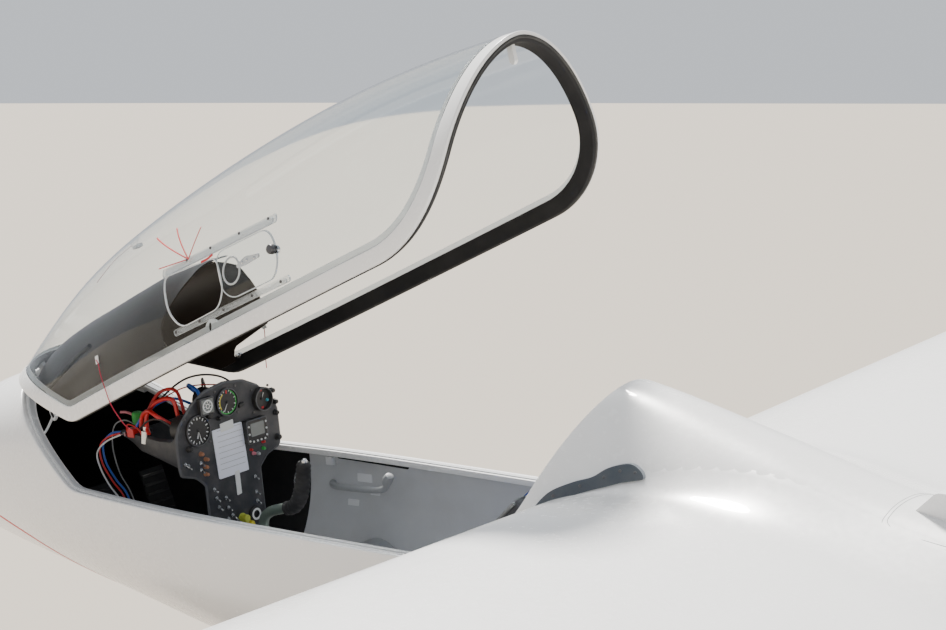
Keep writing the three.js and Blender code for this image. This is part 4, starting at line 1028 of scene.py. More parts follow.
def airfoil(thickness, bend, count=wing_steps):
    """A section of unit chord: x and z from the middle of the blunt trailing edge, over the top and back."""
    x = (1 + np.cos(np.linspace(0, np.pi, count))) / 2
    half = thickness * 5 * (
        0.2969 * np.sqrt(x) - 0.126 * x - 0.3516 * x**2 + 0.2843 * x**3 - 0.1036 * x**4
    ) + 0.002 * x
    middle = 4 * bend * x * (1 - x)
    edge = half[0] * (np.arange(fan) + 0.5) / (fan + 0.5)
    upper = np.concatenate([np.stack([np.ones(fan), edge], axis=1), np.stack([x, middle + half], axis=1)])
    lower = np.concatenate([np.stack([np.ones(fan), -edge], axis=1),
                            np.stack([x, middle - half], axis=1)[:-1]])
    return np.concatenate([upper, lower[::-1]])


def wing_ring(y, side):
    """The wing's section at a distance from the centre line."""
    leading, chord, thickness, pitch = (np.interp(y, wing_table[:, 0], wing_table[:, i]) for i in range(1, 5))
    u, v = airfoil(thickness, camber).T * chord
    pitch = math.radians(pitch)
    height = root_height + (y - wing_table[0, 0]) * dihedral
    x = leading + u * math.cos(pitch) + v * math.sin(pitch)
    return np.stack([x, np.full(len(u), side * y), height + v * math.cos(pitch) - u * math.sin(pitch)],
                    axis=1)


# Root fillet: how far it reaches up, down and aft on the fuselage and out on the wing, from nothing at the
# nose.
up_part, down, aft, out_above, out_below, edge_reach, edge_out = 0.7, 62, 96, 158, 98, 2, 8


def soft(t):
    """A smooth step from 0 to 1."""
    t = np.clip(t, 0, 1)
    return t * t * (3 - 2 * t)


def fillet_rows(side, steps=16):
    """Rings from just under the fuselage's skin out to the wing, tangent to both."""
    ring = wing_ring(wing_table[0, 0], side)
    count = len(ring)
    place = np.arange(count)
    above = place < count / 2
    along = (ring[:, 0] - ring[:, 0].min()) / np.ptp(ring[:, 0])
    run = np.gradient(ring[:, [0, 2]], axis=0)
    out = np.stack([run[:, 1], -run[:, 0]], axis=1)
    out /= np.linalg.norm(out, axis=1)[:, None]
    from_end = np.minimum(place, count - 1 - place)
    turned = from_end < fan
    angle = (from_end + 0.5) / (fan + 0.5) * math.pi / 2
    up_down = np.where(above, 1, -1)
    out[turned] = np.stack([np.cos(angle), up_down * np.sin(angle)], axis=1)[turned]
    rearward = np.where(turned, out[:, 0] ** 2, 0)
    room = section(ring[:, 0])[1] - ring[:, 2]
    reach = np.where(above, up_part * room * soft((along - 0.05) / 0.5), down * soft(along / 0.6))
    reach = edge_reach + reach * (1 - rearward) + aft * rearward
    width = np.where(above, out_above * soft((along - 0.03) / 0.6), out_below * soft(along / 0.6))
    width = width * (1 - rearward) + (out_above + out_below) / 2 * rearward
    shoulder_y = beam(ring[:, 0], ring[:, 2]) + edge_out + width
    foot_x, foot_z = ring[:, 0] + out[:, 0] * reach, ring[:, 2] + out[:, 1] * reach
    foot = np.stack([foot_x, side * beam(foot_x, foot_z), foot_z], axis=1)
    slope = beam(foot_x + out[:, 0], foot_z + out[:, 1]) - beam(foot_x - out[:, 0], foot_z - out[:, 1])
    away = np.stack([2 * out[:, 0], side * slope, 2 * out[:, 1]], axis=1)
    away /= np.linalg.norm(away, axis=1)[:, None]
    shoulder = np.array([wing_ring(y, side)[i] for i, y in enumerate(shoulder_y)])
    inward = np.array([wing_ring(y - 5, side)[i] for i, y in enumerate(shoulder_y)]) - shoulder
    inward /= np.linalg.norm(inward, axis=1)[:, None]
    pull = 1.25 * np.linalg.norm(foot - shoulder, axis=1)[:, None]
    rows = []
    for t in np.linspace(0, 1, steps)[::-1]:
        rows.append(
            (2 * t**3 - 3 * t**2 + 1) * shoulder + (t**3 - 2 * t**2 + t) * pull * inward
            + (3 * t**2 - 2 * t**3) * foot + (t**3 - t**2) * pull * away
        )
    under_x, under_z = foot_x + out[:, 0] * 8, foot_z + out[:, 1] * 8
    under = np.stack([under_x, side * beam(under_x, under_z, 5), under_z], axis=1)
    deep = np.stack([ring[:, 0], side * beam(ring[:, 0], ring[:, 2], 6), ring[:, 2]], axis=1)
    return [deep, under] + rows


def wing_mesh(side, name):
    """The whole wing on one side, before anything is cut from it."""
    stations = [430, 480, 540, 640, 760, 900, 1100, 1400, 1900, 2400, 3000, 3600, 4200, 4800, 5200, 5600,
                6000, 6350, 6400, 6450, 6500, 6540, 6565, 6580, 6590, 6600]
    return lofted(name, fillet_rows(side) + [wing_ring(y, side) for y in stations], gelcoat, crease=40)


def wing_point(y, part, side):
    """A point on the wing's middle line at a part of the chord, and half the thickness there."""
    ring = wing_ring(y, side)
    middle = len(ring) // 2
    front = ring[:, 0].argmin()
    x = ring[0, 0] + (1 - part) * (ring[front, 0] - ring[0, 0])
    upper = np.interp(x, ring[fan:front + 1, 0][::-1], ring[fan:front + 1, 2][::-1])
    lower = np.interp(x, ring[front:-fan, 0], ring[front:-fan, 2])
    return np.array([x, side * y, (upper + lower) / 2]), (upper - lower) / 2


clearance = 5.5
aileron_from, aileron_to, aileron_part = 3900, 6300, 0.78
brake_from, brake_to, brake_part, brake_half, brake_blade = 2000, 3000, 0.5, 17, 3
box_depth, cap_low, blade_low, blade_high, above_wing, nose_share = 42, 24, -34, 30, 200, 0.92


def aileron_tools(side, share, gap, start, end):
    """The aileron's share of the wing: all behind its hinge line, and a round nose."""
    (a, a_half), (b, b_half) = wing_point(start, aileron_part, side), wing_point(end, aileron_part, side)
    back = [np.array([[x, y, z - 300], [x + 700, y, z - 300], [x + 700, y, z + 300], [x, y, z + 300]])
            for x, y, z in (a, b)]
    return [
        lofted("aileron_back", back, gelcoat),
        tube("aileron_nose", a, b, a_half * share + gap, gelcoat, b_half * share + gap, turns=64),
    ]


def brake_tool(side, half, low, high, grow):
    """A box along the airbrake's line, between two heights off the wing's middle line."""
    ends = [wing_point(y, brake_part, side)[0] for y in (brake_from - grow, brake_to + grow)]
    rings = [
        np.array([[x - half, y, z + low], [x + half, y, z + low], [x + half, y, z + high],
                  [x - half, y, z + high]])
        for x, y, z in ends
    ]
    return lofted("brake_space", rings, gelcoat)


for name, side in sides:
    wing = wing_mesh(side, f"wing_skin_{name}")
    aileron = copied(wing, f"aileron_skin_{name}")
    brake_cap = copied(wing, f"airbrake_cap_{name}")
    for tool in aileron_tools(side, 1, clearance, aileron_from - clearance, aileron_to + clearance):
        carved(wing, tool)
    carved(wing, brake_tool(side, brake_half + clearance, -box_depth, above_wing, clearance))
    share = aileron_tools(side, nose_share, 0, aileron_from, aileron_to)
    carved(aileron, carved(share[0], share[1], "UNION"), "INTERSECT")
    carved(brake_cap, brake_tool(side, brake_half, cap_low, above_wing, 0), "INTERSECT")
    blade = brake_tool(side, brake_blade, blade_low, blade_high, 0)
    blade.name = f"airbrake_blade_{name}"
    fitted(wing, "airframe", "gelcoat", f"wing_{name}")
    fitted(aileron, f"{name}_aileron", "gelcoat", f"aileron_{name}")
    fitted(brake_cap, f"{name}_airbrake", "gelcoat", f"airbrake_{name}")
    fitted(blade, f"{name}_airbrake", "gelcoat")


# Tail: fin and rudder, the fairing round the tail wheel, and the tailplane with its one-piece elevator.
fin_table = np.array([  # height, leading edge x, chord, thickness ratio
    (392, 5560, 1280, 0.08), (418, 5690, 1152, 0.085), (448, 5790, 1054, 0.09), (500, 5880, 966, 0.1),
    (580, 5921, 921, 0.102), (700, 5968, 868, 0.105), (900, 6050, 776, 0.11), (1330, 6216, 590, 0.12),
    (1420, 6246, 556, 0.12),
])
rudder_from, rudder_to = 300, 1335
rudder_low, rudder_high, nose_low, nose_high = (6537, 300), (6595, 1335), 40, 22
fairing_table = [  # x, half width, top, bottom
    (5980, 34, 400, 340), (6050, 41, 400, 262), (6120, 46, 400, 200), (6180, 51, 400, 132),
    (6240, 56, 400, 84), (6330, 58, 400, 79), (6420, 56, 400, 80), (6465, 50, 400, 136), (6500, 44, 400, 200),
]
tail_table = np.array([  # distance from the centre line, leading edge x, chord, thickness ratio
    (0, 6236, 530, 0.11), (900, 6330, 410, 0.11), (1340, 6378, 346, 0.1), (1380, 6391, 314, 0.095),
    (1405, 6410, 270, 0.09), (1415, 6432, 215, 0.085), (1420, 6450, 170, 0.08),
])
tail_height, elevator_to, elevator_x, elevator_nose = 1452, 1320, 6628, 13
tail_wheel_x, tail_slot_reach, tail_slot_half, tail_slot_top, fin_end = 6330, 108, 34, 214, 6612
tail_steps, fairing_corners = 36, 64


def rudder_tool(gap, bottom, top):
    """The rudder's share of the tail, with its round nose wider by the gap."""
    part = (np.array([bottom, top]) - rudder_low[1]) / (rudder_high[1] - rudder_low[1])
    x = rudder_low[0] + part * (rudder_high[0] - rudder_low[0])
    nose = nose_low + part * (nose_high - nose_low) + gap
    back = slab("rudder_back", [(x[0], bottom), (7000, bottom), (7000, top), (x[1], top)], -100, 100, gelcoat)
    round_nose = tube("rudder_nose", (x[0], 0, bottom), (x[1], 0, top), nose[0], gelcoat, nose[1], turns=64)
    return carved(back, round_nose, "UNION")


def elevator_tool(gap, end):
    """The elevator's share of the tailplane."""
    nose = elevator_nose + gap
    back = block("elevator_back", (elevator_x, -end, 1300), (7200, end, 1600), gelcoat)
    line = [(elevator_x, y, tail_height) for y in (-end, end)]
    return carved(back, tube("elevator_nose", *line, nose, gelcoat, turns=64), "UNION")


rings = []
for z, leading, chord, thickness in fin_table:
    u, v = airfoil(thickness, 0, tail_steps).T
    rings.append(np.stack([leading + chord * u, chord * v, np.full(len(u), z)], axis=1))
fin = lofted("fin_skin", rings, gelcoat, crease=40)
whole_tail = copied(fin, "rudder_skin")
carved(fin, rudder_tool(clearance, rudder_from - 10, rudder_to + clearance))
carved(fin, block("fin_end", (fin_end, -100, 200), (7200, 100, 1500), gelcoat))
carved(whole_tail, rudder_tool(0, rudder_from, rudder_to), "INTERSECT")
rings = []
angle = (np.arange(fairing_corners) + 0.5) / fairing_corners * 2 * math.pi
across, rise = np.cos(angle), np.sin(angle)
for x, half, top, bottom in fairing_table:
    y = half * np.sign(across) * np.sqrt(np.abs(across))
    z = (top + bottom) / 2 + (top - bottom) / 2 * np.sign(rise) * np.sqrt(np.abs(rise))
    rings.append(np.stack([np.full(fairing_corners, x), y, z], axis=1))
fairing = lofted("tail_fairing", rings, gelcoat)
for part in (fairing, body):
    carved(part, block("tail_slot", (tail_wheel_x - tail_slot_reach, -tail_slot_half, 40),
                       (tail_wheel_x + tail_slot_reach, tail_slot_half, tail_slot_top), gelcoat))
    carved(part, rudder_tool(clearance, rudder_from - 10, rudder_to + clearance))
fitted(fin, "airframe", "gelcoat", "fin")
fitted(fairing, "airframe", "gelcoat")
fitted(body, "airframe", "gelcoat", "fuselage_pod", "tail_boom")
fitted(whole_tail, "rudder", "gelcoat", "rudder")

stations = [-1420, -1415, -1405, -1380, -1340, -900, -400, 0, 400, 900, 1340, 1380, 1405, 1415, 1420]
rings = []
for y in stations:
    leading, chord, thickness = (np.interp(abs(y), tail_table[:, 0], tail_table[:, i]) for i in (1, 2, 3))
    u, v = airfoil(thickness, 0, tail_steps).T
    rings.append(np.stack([leading + chord * u, np.full(len(u), y), tail_height + chord * v], axis=1))
stabilizer = lofted("stabilizer_skin", rings, gelcoat, crease=40)
elevator = copied(stabilizer, "elevator_skin")
carved(stabilizer, elevator_tool(clearance + 1, elevator_to + clearance))
carved(elevator, elevator_tool(0, elevator_to), "INTERSECT")
saddle = block("tailplane_saddle", (6300, -22, 1418), (6560, 22, tail_height), gelcoat)
fitted(stabilizer, "airframe", "gelcoat", "stabilizer")
fitted(saddle, "airframe", "gelcoat")
fitted(elevator, "elevator", "gelcoat", "elevator")


# Root strakes: dark grey plates bent over the fuselage's shoulders above the wing roots, held by small
# screws.
strake_outline = [
    (2220, 852), (2248, 888), (2294, 909), (2336, 921), (2366, 938), (2406, 946), (2432, 937), (2445, 925),
    (2439, 921), (2416, 919), (2387, 911), (2315, 891), (2268, 870),
]
strake_screws = [(2262, 884), (2316, 905), (2362, 922), (2392, 934), (2424, 933)]
strake_grey = painted("strake_rubber", (0.052, 0.064, 0.078), 0.5, wear=0.2, patches=12.0, grain=500.0,
                      bump=0.3)
strake_edge = painted("strake_edge", (0.26, 0.29, 0.32), 0.55, wear=0.2)
strake_line, strake_high = smooth(strake_outline, 160, closed=True), 6.5
head = [(-1, 0), (-1, 3.2), (0.6, 3.2), (1.4, 2.2), (1.4, 0)]
for name, side in sides:
    fitted(skin_plate(f"strake_{name}", strake_line, -strake_high, -0.3, [strake_grey, strake_edge], placed,
                      side), "airframe", "strake", f"root_strake_{name}")
    places, axes = on_skin(strake_screws, -strake_high, side), side_normals(strake_screws, side)
    fitted(studs(f"strake_screws_{name}", head, places, axes, dark_steel), "airframe", "steel")


# Lines on the skin: the red pinstripe that sweeps up the nose on each side, and the fine double joint of the
# cover on top of the boom.
joint_grey = painted("joint_shadow", (0.34, 0.35, 0.36), 0.7)


def on_top(flat, inset):
    """Points given by x and y on the upper skin moved in by `inset`."""
    x, y = np.asarray(flat, float).T
    half, top, _, widest, upper = section(x)
    part = np.clip(np.abs(y) / (half - inset), 0, 1)
    return np.stack([x, y, widest + (top - widest - inset) * (1 - part**upper) ** (1 / upper)], axis=1)


def top_ribbon(name, line, width, finish, high=-0.35, low=1.0):
    """A thin strip on the upper skin along a line of x and y."""
    across = flat_normals(line) * width / 2
    edges = [on_top(line + across, high), on_top(line - across, high), on_top(line - across, low),
             on_top(line + across, low)]
    return lofted(name, list(np.stack(edges, axis=1)), finish, crease=50)


stripe = smooth([(430, 640), (570, 590), (700, 533), (860, 468), (960, 436), (1030, 417), (1052, 413),
                 (1058, 420)], 90)
fitted(ribbon("pinstripe_left", stripe, 6, red_paint, placed), "airframe", None)
fitted(ribbon("pinstripe_right", stripe, 6, red_paint, placed, side=1), "airframe", None)
for number, grow in enumerate((0, 7)):
    cover = [(3180, 86 + grow), (3043, 95 + grow), (2960, 99 + grow), (2922 - grow, 90 + grow),
             (2915 - grow, 62), (2915 - grow, 0)]
    cover += [(x, -y) for x, y in cover[-2::-1]]
    fitted(top_ribbon(f"cover_joint_{number}", smooth(cover, 140), 1.2, joint_grey), "airframe", None)


# Instrument panel: a dark grey moulded plate on a pedestal, with a bevelled edge a shade lighter. It carries
# three dials with needles, one of them hooded, a radio, a small display, a card under tape, and many
# switches and knobs.
panel_x, panel_thick = 1097, 4
aft_axis = (1, 0, 0)
panel_outline = [
    (-88, 460), (88, 460), (88, 742), (112, 764), (156, 778), (160, 800), (160, 868), (148, 894), (104, 936),
    (60, 958), (0, 966), (-60, 958), (-104, 936), (-148, 894), (-160, 868), (-160, 800), (-156, 778),
    (-112, 764), (-88, 742),
]
dial_table = [  # name, y, z, radius of the face, radius of the can, depth of the can
    ("altimeter", -94, 873, 36, 31, 60), ("airspeed_indicator", 2, 917, 33, 29, 86),
    ("compass_dial", 108, 900, 28, 24, 40),
]
panel_grey = painted("panel_grey", (0.028, 0.030, 0.036), 0.55, wear=0.3, patches=14.0, grain=600.0,
                     bump=0.25)
panel_edge = painted("panel_bevel", (0.075, 0.078, 0.086), 0.55, wear=0.2, grain=600.0)
dial_black = painted("dial_black", (0.012, 0.012, 0.013), 0.5, wear=0.1)
mark_white = painted("mark_white", (0.80, 0.81, 0.80), 0.6, wear=0.05, bump=0)
mark_green = painted("mark_green", (0.05, 0.42, 0.08), 0.6, wear=0.05, bump=0)
mark_yellow = painted("mark_yellow", (0.72, 0.60, 0.05), 0.6, wear=0.05, bump=0)
button_grey = painted("button_grey", (0.42, 0.43, 0.44), 0.5, wear=0.1)


def gathered(name, parts, finishes, put=placed, crease=35):
    """One piece from many small closed solids of (points, faces, number of the finish)."""
    points, faces, which, start = [], [], [], 0
    for corners, more, number in parts:
        points.append(np.asarray(corners, float))
        faces += [tuple(start + i for i in face) for face in more]
        which += [number] * len(more)
        start += len(corners)
    return shaped(name, np.concatenate(points), faces, finishes, put, crease, which=which, weld=1e-6)


def sector(y, z, inner, outer, start, end, low, high, steps=2):
    """A thin flat piece of a ring on the panel's face; angles run from the top towards starboard."""
    rings = []
    for angle in np.linspace(math.radians(start), math.radians(end), steps):
        s, c = math.sin(angle), math.cos(angle)
        rings.append(np.array([(low, y + inner * s, z + inner * c), (low, y + outer * s, z + outer * c),
                               (high, y + outer * s, z + outer * c), (high, y + inner * s, z + inner * c)]))
    points, faces = joined(rings, closed=True)
    last = len(points)
    return points, faces + [(0, 1, 2, 3), (last - 4, last - 3, last - 2, last - 1)]


def bevelled(name, outline, back, front, bevel, finishes, which=(0, 1, 0), radius=4, count=160):
    """A plate facing aft, from an outline of y and z; its bevelled edge may have its own finish."""
    line = rounded(outline, radius, count)
    inner = shrunk(line, bevel)
    rings = [np.column_stack([np.full(len(flat), x), flat]) for x, flat in
             ((back, line), (front - bevel * 0.5, line), (front, inner))]
    points, faces = joined(rings, closed=True)
    numbers = np.repeat(which[:2], count).tolist() + [which[2]] * 2
    faces += [tuple(range(count)), tuple(range(2 * count, 3 * count))]
    return shaped(name, points, faces, paired(finishes), crease=25, which=numbers)


plate = bevelled("panel_plate", panel_outline, panel_x - panel_thick, panel_x + 0.2, 5,
                 [panel_grey, panel_edge])
for _, y, z, _, radius, _ in dial_table:
    carved(plate, tube("dial_hole", (panel_x - 20, y, z), (panel_x + 20, y, z), radius + 0.3, panel_grey),
           crease=25)
fitted(plate, "airframe", "panel", "instrument_panel")

for name, y, z, reach, can, depth in dial_table:
    hooded = name == "compass_dial"
    lip = 14 if hooded else 6.7
    profile = [(-depth - 0.3, 0), (-depth - 0.3, can - 2), (2 - depth, can), (-0.2, can), (-0.2, reach),
               (lip - 1.2, reach), (lip, reach - 1.2), (lip, reach - 3), (3.4, reach - 4), (3.4, 0)]
    fitted(turned(f"{name}_case", (panel_x + 0.4, y, z), aft_axis, profile, [dial_black, panel_edge],
                  turns=48, which=[0, 0, 0, 0, 0, 1, 1, 0, 0]), "airframe", "black", name)
    face = panel_x + 3.8
    parts = []
    rim = reach - 5
    for number in range(0 if hooded else 20):
        turn = number * 18
        long = number % 2 == 0
        width = 2.4 if long else 1.6
        inner = rim - (6.5 if long else 3.5)
        parts.append((*sector(y, z, inner, rim, turn - width, turn + width, face - 0.3, face + 0.4), 0))
    if name == "airspeed_indicator":
        parts.append((*sector(y, z, rim - 2.6, rim, 20, 235, face - 0.3, face + 0.6, 40), 1))
        parts.append((*sector(y, z, rim - 6.2, rim - 3.6, 236, 330, face - 0.3, face + 0.6, 24), 2))
        parts.append((*sector(y, z, rim - 8, rim, -4, 4, face - 0.3, face + 0.8), 3))
        needles = [(212, rim - 5, 3.0)]
    elif hooded:
        parts.append((*sector(y, z, rim - 5, rim, -9, 9, face - 0.3, face + 0.8, 6), 3))
        parts.append((*sector(y, z, rim - 5, rim, 170, 190, face - 0.3, face + 0.8, 6), 3))
        needles = [(25, rim - 8, 4.0)]
    else:
        needles = [(168, rim - 5, 2.6), (196, rim - 13, 5.0)]
    for turn, length, width in needles:
        parts.append((*sector(y, z, 3, length, turn - width, turn + width, face + 0.9, face + 1.6), 0))
    fitted(gathered(f"{name}_marks", parts, [mark_white, mark_green, mark_yellow, red_paint]), "airframe",
           None)
    hub_profile = [(0, 0), (0, 3.4), (2.4, 3.4), (3, 2.4), (3, 0)]
    fitted(turned(f"{name}_hub", (face, y, z), aft_axis, hub_profile, dial_black, turns=24), "airframe",
           "black")
    out = reach - 2
    spots = [(panel_x + 1, y + side * out, z + up * out) for side in (-1, 1) for up in (-1, 1)]
    head = [(-2, 0), (-2, 3), (0.6, 3), (1.3, 2), (1.3, 0)]
    fitted(studs(f"{name}_screws", head, spots, [aft_axis] * 4, dark_steel, turns=14), "airframe", "steel")


def oblong(left, right, bottom, top):
    """The corners of an upright rectangle."""
    return [(left, bottom), (right, bottom), (right, top), (left, top)]


# Boxes with a screen: name, depth, then left, right, bottom and top of the box and of its screen.
screen = painted("display_screen", (0.10, 0.13, 0.14), 0.12, coat=0.5, wear=0.05, bump=0)
for name, depth, outline, window in (
    ("radio", 12, oblong(-86, -44, 904, 944), oblong(-83, -47, 907, 941)),
    ("logger_display", 16, oblong(42, 106, 806, 862), oblong(52, 96, 822, 854)),
):
    fitted(bevelled(f"{name}_box", outline, panel_x + 0.3, panel_x + depth, 2, [dial_black, panel_edge],
                    radius=4, count=80), "airframe", "black", name)
    fitted(bevelled(f"{name}_window", window, panel_x + depth - 0.6, panel_x + depth + 0.5, 0.6,
                    [screen, dial_black], radius=2, count=60), "airframe", "black")

ring_face, ring_y, ring_z = panel_x + 12.5, -65, 924
ring_parts = [(11.5, 14.5, 0, 359, 60), (4, 6, 0, 359, 40)]
ring_parts += [(8, 10.5, turn - 5, turn + 5, 2) for turn in range(0, 360, 45)]
parts = [(*sector(ring_y, ring_z, inner, outer, start, end, ring_face, ring_face + 0.5, steps), 0)
         for inner, outer, start, end, steps in ring_parts]
fitted(gathered("radio_ring", parts, [mark_white]), "airframe", "paper")
button = [(-1, 0), (-1, 2.4), (1.6, 2.4), (2.2, 1.6), (2.2, 0)]
button_places = [
    (47, 814), (58, 811), (70, 811), (82, 811), (94, 811), (101, 818), (101, 834), (101, 850), (47, 830),
    (47, 848),
]
spots = [(panel_x + 16, y, z) for y, z in button_places]
fitted(studs("display_buttons", button, spots, [aft_axis] * len(spots), mark_white, turns=14), "airframe",
       "paper")

# The card: a pale sheet held by tape at the top and by a strip of tape that hangs below it, with blank ruled
# lines.
card = [(-46, 746), (46, 746), (40, 862), (-52, 862)]
paper = painted("card_paper", (0.86, 0.88, 0.97), 0.7, wear=0.05, bump=0.1)
fitted(bevelled("task_card_sheet", card, panel_x + 0.4, panel_x + 2.2, 0.3, paper, radius=2,
                count=80), "airframe", "paper", "task_card")
lines = [(*brick((panel_x + 2, -38, z), (panel_x + 2.5, 38, z + 0.9)), 0) for z in range(766, 858, 13)]
fitted(gathered("card_lines", lines, [joint_grey]), "airframe", "paper")
for number, (low, high) in enumerate([((-26, 852), (14, 872)), ((2, 696), (16, 752))]):
    strip = [(low[0], low[1]), (high[0], low[1] + 2), (high[0], high[1] + 2), (low[0], high[1])]
    fitted(bevelled(f"card_tape_{number}", strip, panel_x + 1, panel_x + 2.8, 0.3, tape, radius=1,
                    count=60), "airframe", "paper")

# Knobs and switches on the panel: name, y, z, radius, height, finish.
knob_brown = painted("knob_copper", (0.34, 0.15, 0.08), 0.4)
knob_lime = painted("knob_lime", (0.50, 0.55, 0.05), 0.45)
knob_pink = painted("knob_pink", (0.62, 0.20, 0.26), 0.5)
knob_cyan = painted("knob_cyan", (0.05, 0.42, 0.50), 0.5)
knobs = [
    ("altimeter_knob", -126, 838, 7, 12, dial_black), ("radio_knob", -57, 900, 8, 13, dial_black),
    ("airspeed_knob", -28, 886, 5, 10, dial_black), ("copper_a", -92, 818, 5, 10, knob_brown),
    ("dial_knob_a", 143, 912, 6, 11, dial_black), ("dial_knob_b", 149, 884, 6, 11, dial_black),
    ("dial_knob_c", 148, 858, 6, 11, dial_black), ("dial_knob_d", 146, 800, 7, 12, dial_black),
    ("cyan_dot", 124, 894, 4, 8, knob_cyan), ("pink_cap", 66, 780, 4, 9, knob_pink),
    ("lime_knob", 10, 640, 10, 20, knob_lime), ("yellow_knob", 28, 622, 8, 16, mark_yellow),
    ("green_cap", 98, 784, 4, 8, mark_green), ("grey_cap", 80, 776, 4, 8, button_grey),
    ("copper_b", -80, 803, 4.5, 12, knob_brown), ("copper_c", -84, 786, 4.5, 12, knob_brown),
    ("copper_d", -85, 769, 4.5, 12, knob_brown),
    ("red_cap_a", 60, 790, 3, 7, red_paint), ("red_cap_b", 100, 800, 4, 7, red_paint),
]
for name, y, z, reach, height, finish in knobs:
    profile = [(-1, 0), (-1, reach * 1.15), (1.5, reach * 1.15), (2.2, reach), (height - 2, reach * 0.92),
               (height, reach * 0.7), (height + 0.6, 0)]
    fitted(turned(name, (panel_x, y, z), aft_axis, profile, finish, turns=28), "airframe", "black")
toggles = [
    (-142, 806), (-134, 800), (-96, 798), (-98, 782), (-66, 728), (-62, 706), (-58, 684), (-34, 700),
    (-30, 676), (60, 690), (60, 668), (-34, 650), (-20, 655), (-6, 640), (62, 726),
]
spots = [(panel_x, y, z) for y, z in toggles]
for name, axis, profile in (
    ("toggle_bases", aft_axis, [(-6, 0), (-6, 4.6), (3, 4.6), (3, 3), (6, 3), (6, 0)]),
    ("toggle_levers", (1, 0, -0.35), [(0, 0), (0, 1.7), (14, 2.6), (16, 2.2), (16.6, 0)]),
):
    fitted(studs(name, profile, spots, [axis] * len(spots), steel, turns=12), "airframe", "steel")
fitted(bevelled("clip", [(34, 896), (50, 899), (50, 907), (34, 904)], panel_x, panel_x + 9, 1,
                dial_black, radius=1.5, count=40), "airframe", "black")
vent_profile = [(-1, 0), (-1, 17), (6, 17), (9, 14), (9, 9), (3, 8), (3, 0)]
fitted(turned("oval_vent", (panel_x, 48, 640), aft_axis, vent_profile, [dial_black, mark_white, red_paint],
              turns=36, which=[0, 0, 0, 1, 0, 0]), "airframe", "black")


# Ahead of the panel: a dark wedge-shaped pod that holds the instruments' backs, red and blue pneumatic tubes
# looped between them, black wires and a green cap. They show through the gap under the raised hood.
def pod_ring(x, half, low, high):
    """A rounded box across the pod."""
    corners = rounded([(half, low), (half, high), (-half, high), (-half, low)], 10, 64)
    return np.column_stack([np.full(64, x), corners])


pod_rings = [pod_ring(x, half, low, high) for x, half, low, high in (
    (848, 112, 842, 856), (930, 126, 814, 855), (1010, 138, 803, 854), (1062, 145, 794, 858),
    (1080, 148, 788, 872), (panel_x - 4.3, 150, 782, 896))]
pod = lofted("instrument_wedge", pod_rings, panel_grey, crease=30)
pod_inner = [pod_ring(x, half, low, high) * [1, 0.95, 1] for x, half, low, high in (
    (846, 108, 846, 900), (930, 122, 819, 900), (1010, 134, 808, 900), (1100, 146, 786, 912))]
carved(pod, lofted("wedge_space", pod_inner, dial_black), crease=30)
carved(pod, block("wedge_top", (700, -300, 880), (1200, 300, 1000), dial_black), crease=30)
fitted(pod, "airframe", "panel", "instrument_pod")
tube_red = painted("tube_red", (0.55, 0.02, 0.02), 0.35, wear=0.05)
tube_blue = painted("tube_blue", (0.02, 0.10, 0.45), 0.35, wear=0.05)
wire_black = painted("wire_black", (0.015, 0.015, 0.016), 0.5)
wire_grey = painted("wire_grey", (0.35, 0.36, 0.37), 0.6)
wire_white = painted("wire_white", (0.72, 0.73, 0.74), 0.5)
hoses = [  # name, points, radius, finish
    ("hose_red", [(1034, -90, 897), (1026, -96, 940), (985, -108, 934), (957, -116, 905), (957, -122, 875),
                  (968, -128, 862)], 5.0, tube_red),
    ("hose_red_low", [(1034, -94, 872), (1008, -128, 905), (975, -126, 916), (940, -118, 898),
                      (930, -116, 862), (944, -118, 838)], 5.0, tube_red),
    ("hose_red_far", [(1034, -70, 900), (1000, -60, 950), (955, -70, 945), (925, -84, 905), (920, -96, 866),
                      (930, -110, 836)], 4.0, tube_red),
    ("hose_blue", [(1009, -6, 932), (1000, -20, 950), (1030, -44, 962), (1070, -58, 956), (1091, -66, 940)],
     4.2, tube_blue),
    ("hose_blue_low", [(1009, -12, 905), (980, -60, 930), (940, -104, 905), (900, -112, 860),
                       (892, -108, 836)], 3.2, tube_blue),
    ("wire_a", [(1035, -112, 880), (1010, -130, 900), (970, -128, 892), (930, -122, 868)], 2.2, wire_black),
    ("wire_b", [(1009, 12, 925), (980, 40, 954), (930, 90, 915), (900, 117, 866)], 2.6, wire_black),
    ("wire_c", [(1056, 104, 905), (1020, 60, 958), (960, 10, 960), (930, -60, 916), (915, -112, 858)], 2.4,
     wire_black),
    ("wire_d", [(1056, 94, 912), (1030, 60, 938), (980, -20, 946), (930, -90, 906), (902, -116, 866)], 1.6,
     tube_red),
    ("wire_e", [(880, -120, 858), (905, -134, 880), (940, -134, 872), (952, -128, 842)], 1.6, tube_red),
    ("loop_grey", [(862, -70, 858), (820, -74, 868), (782, -76, 850), (770, -78, 800), (786, -80, 740),
                   (826, -84, 690), (858, -86, 600), (868, -86, 514)], 1.6, wire_grey),
    ("bundle_red", [(852, -112, 850), (812, -122, 838), (786, -128, 815), (790, -130, 775), (822, -132, 735),
                    (860, -134, 700), (886, -134, 620), (892, -130, 513)], 2.2, tube_red),
    ("bundle_blue", [(854, -106, 852), (818, -116, 846), (794, -124, 820), (798, -126, 778), (829, -128, 740),
                     (867, -130, 706), (894, -130, 624), (900, -126, 512)], 2.4, tube_blue),
    ("bundle_white", [(856, -110, 848), (808, -126, 828), (780, -134, 800), (788, -136, 764),
                      (816, -138, 726), (854, -140, 690), (880, -140, 616), (886, -136, 514)],
     2.0, wire_white),
]
for name, points, radius, finish in hoses:
    cord_piece(name, points, radius, finish, placed, "airframe", "rubber",
               count=70)
cap_profile = [(-14, 0), (-14, 13), (10, 13), (14, 10), (14, 0)]
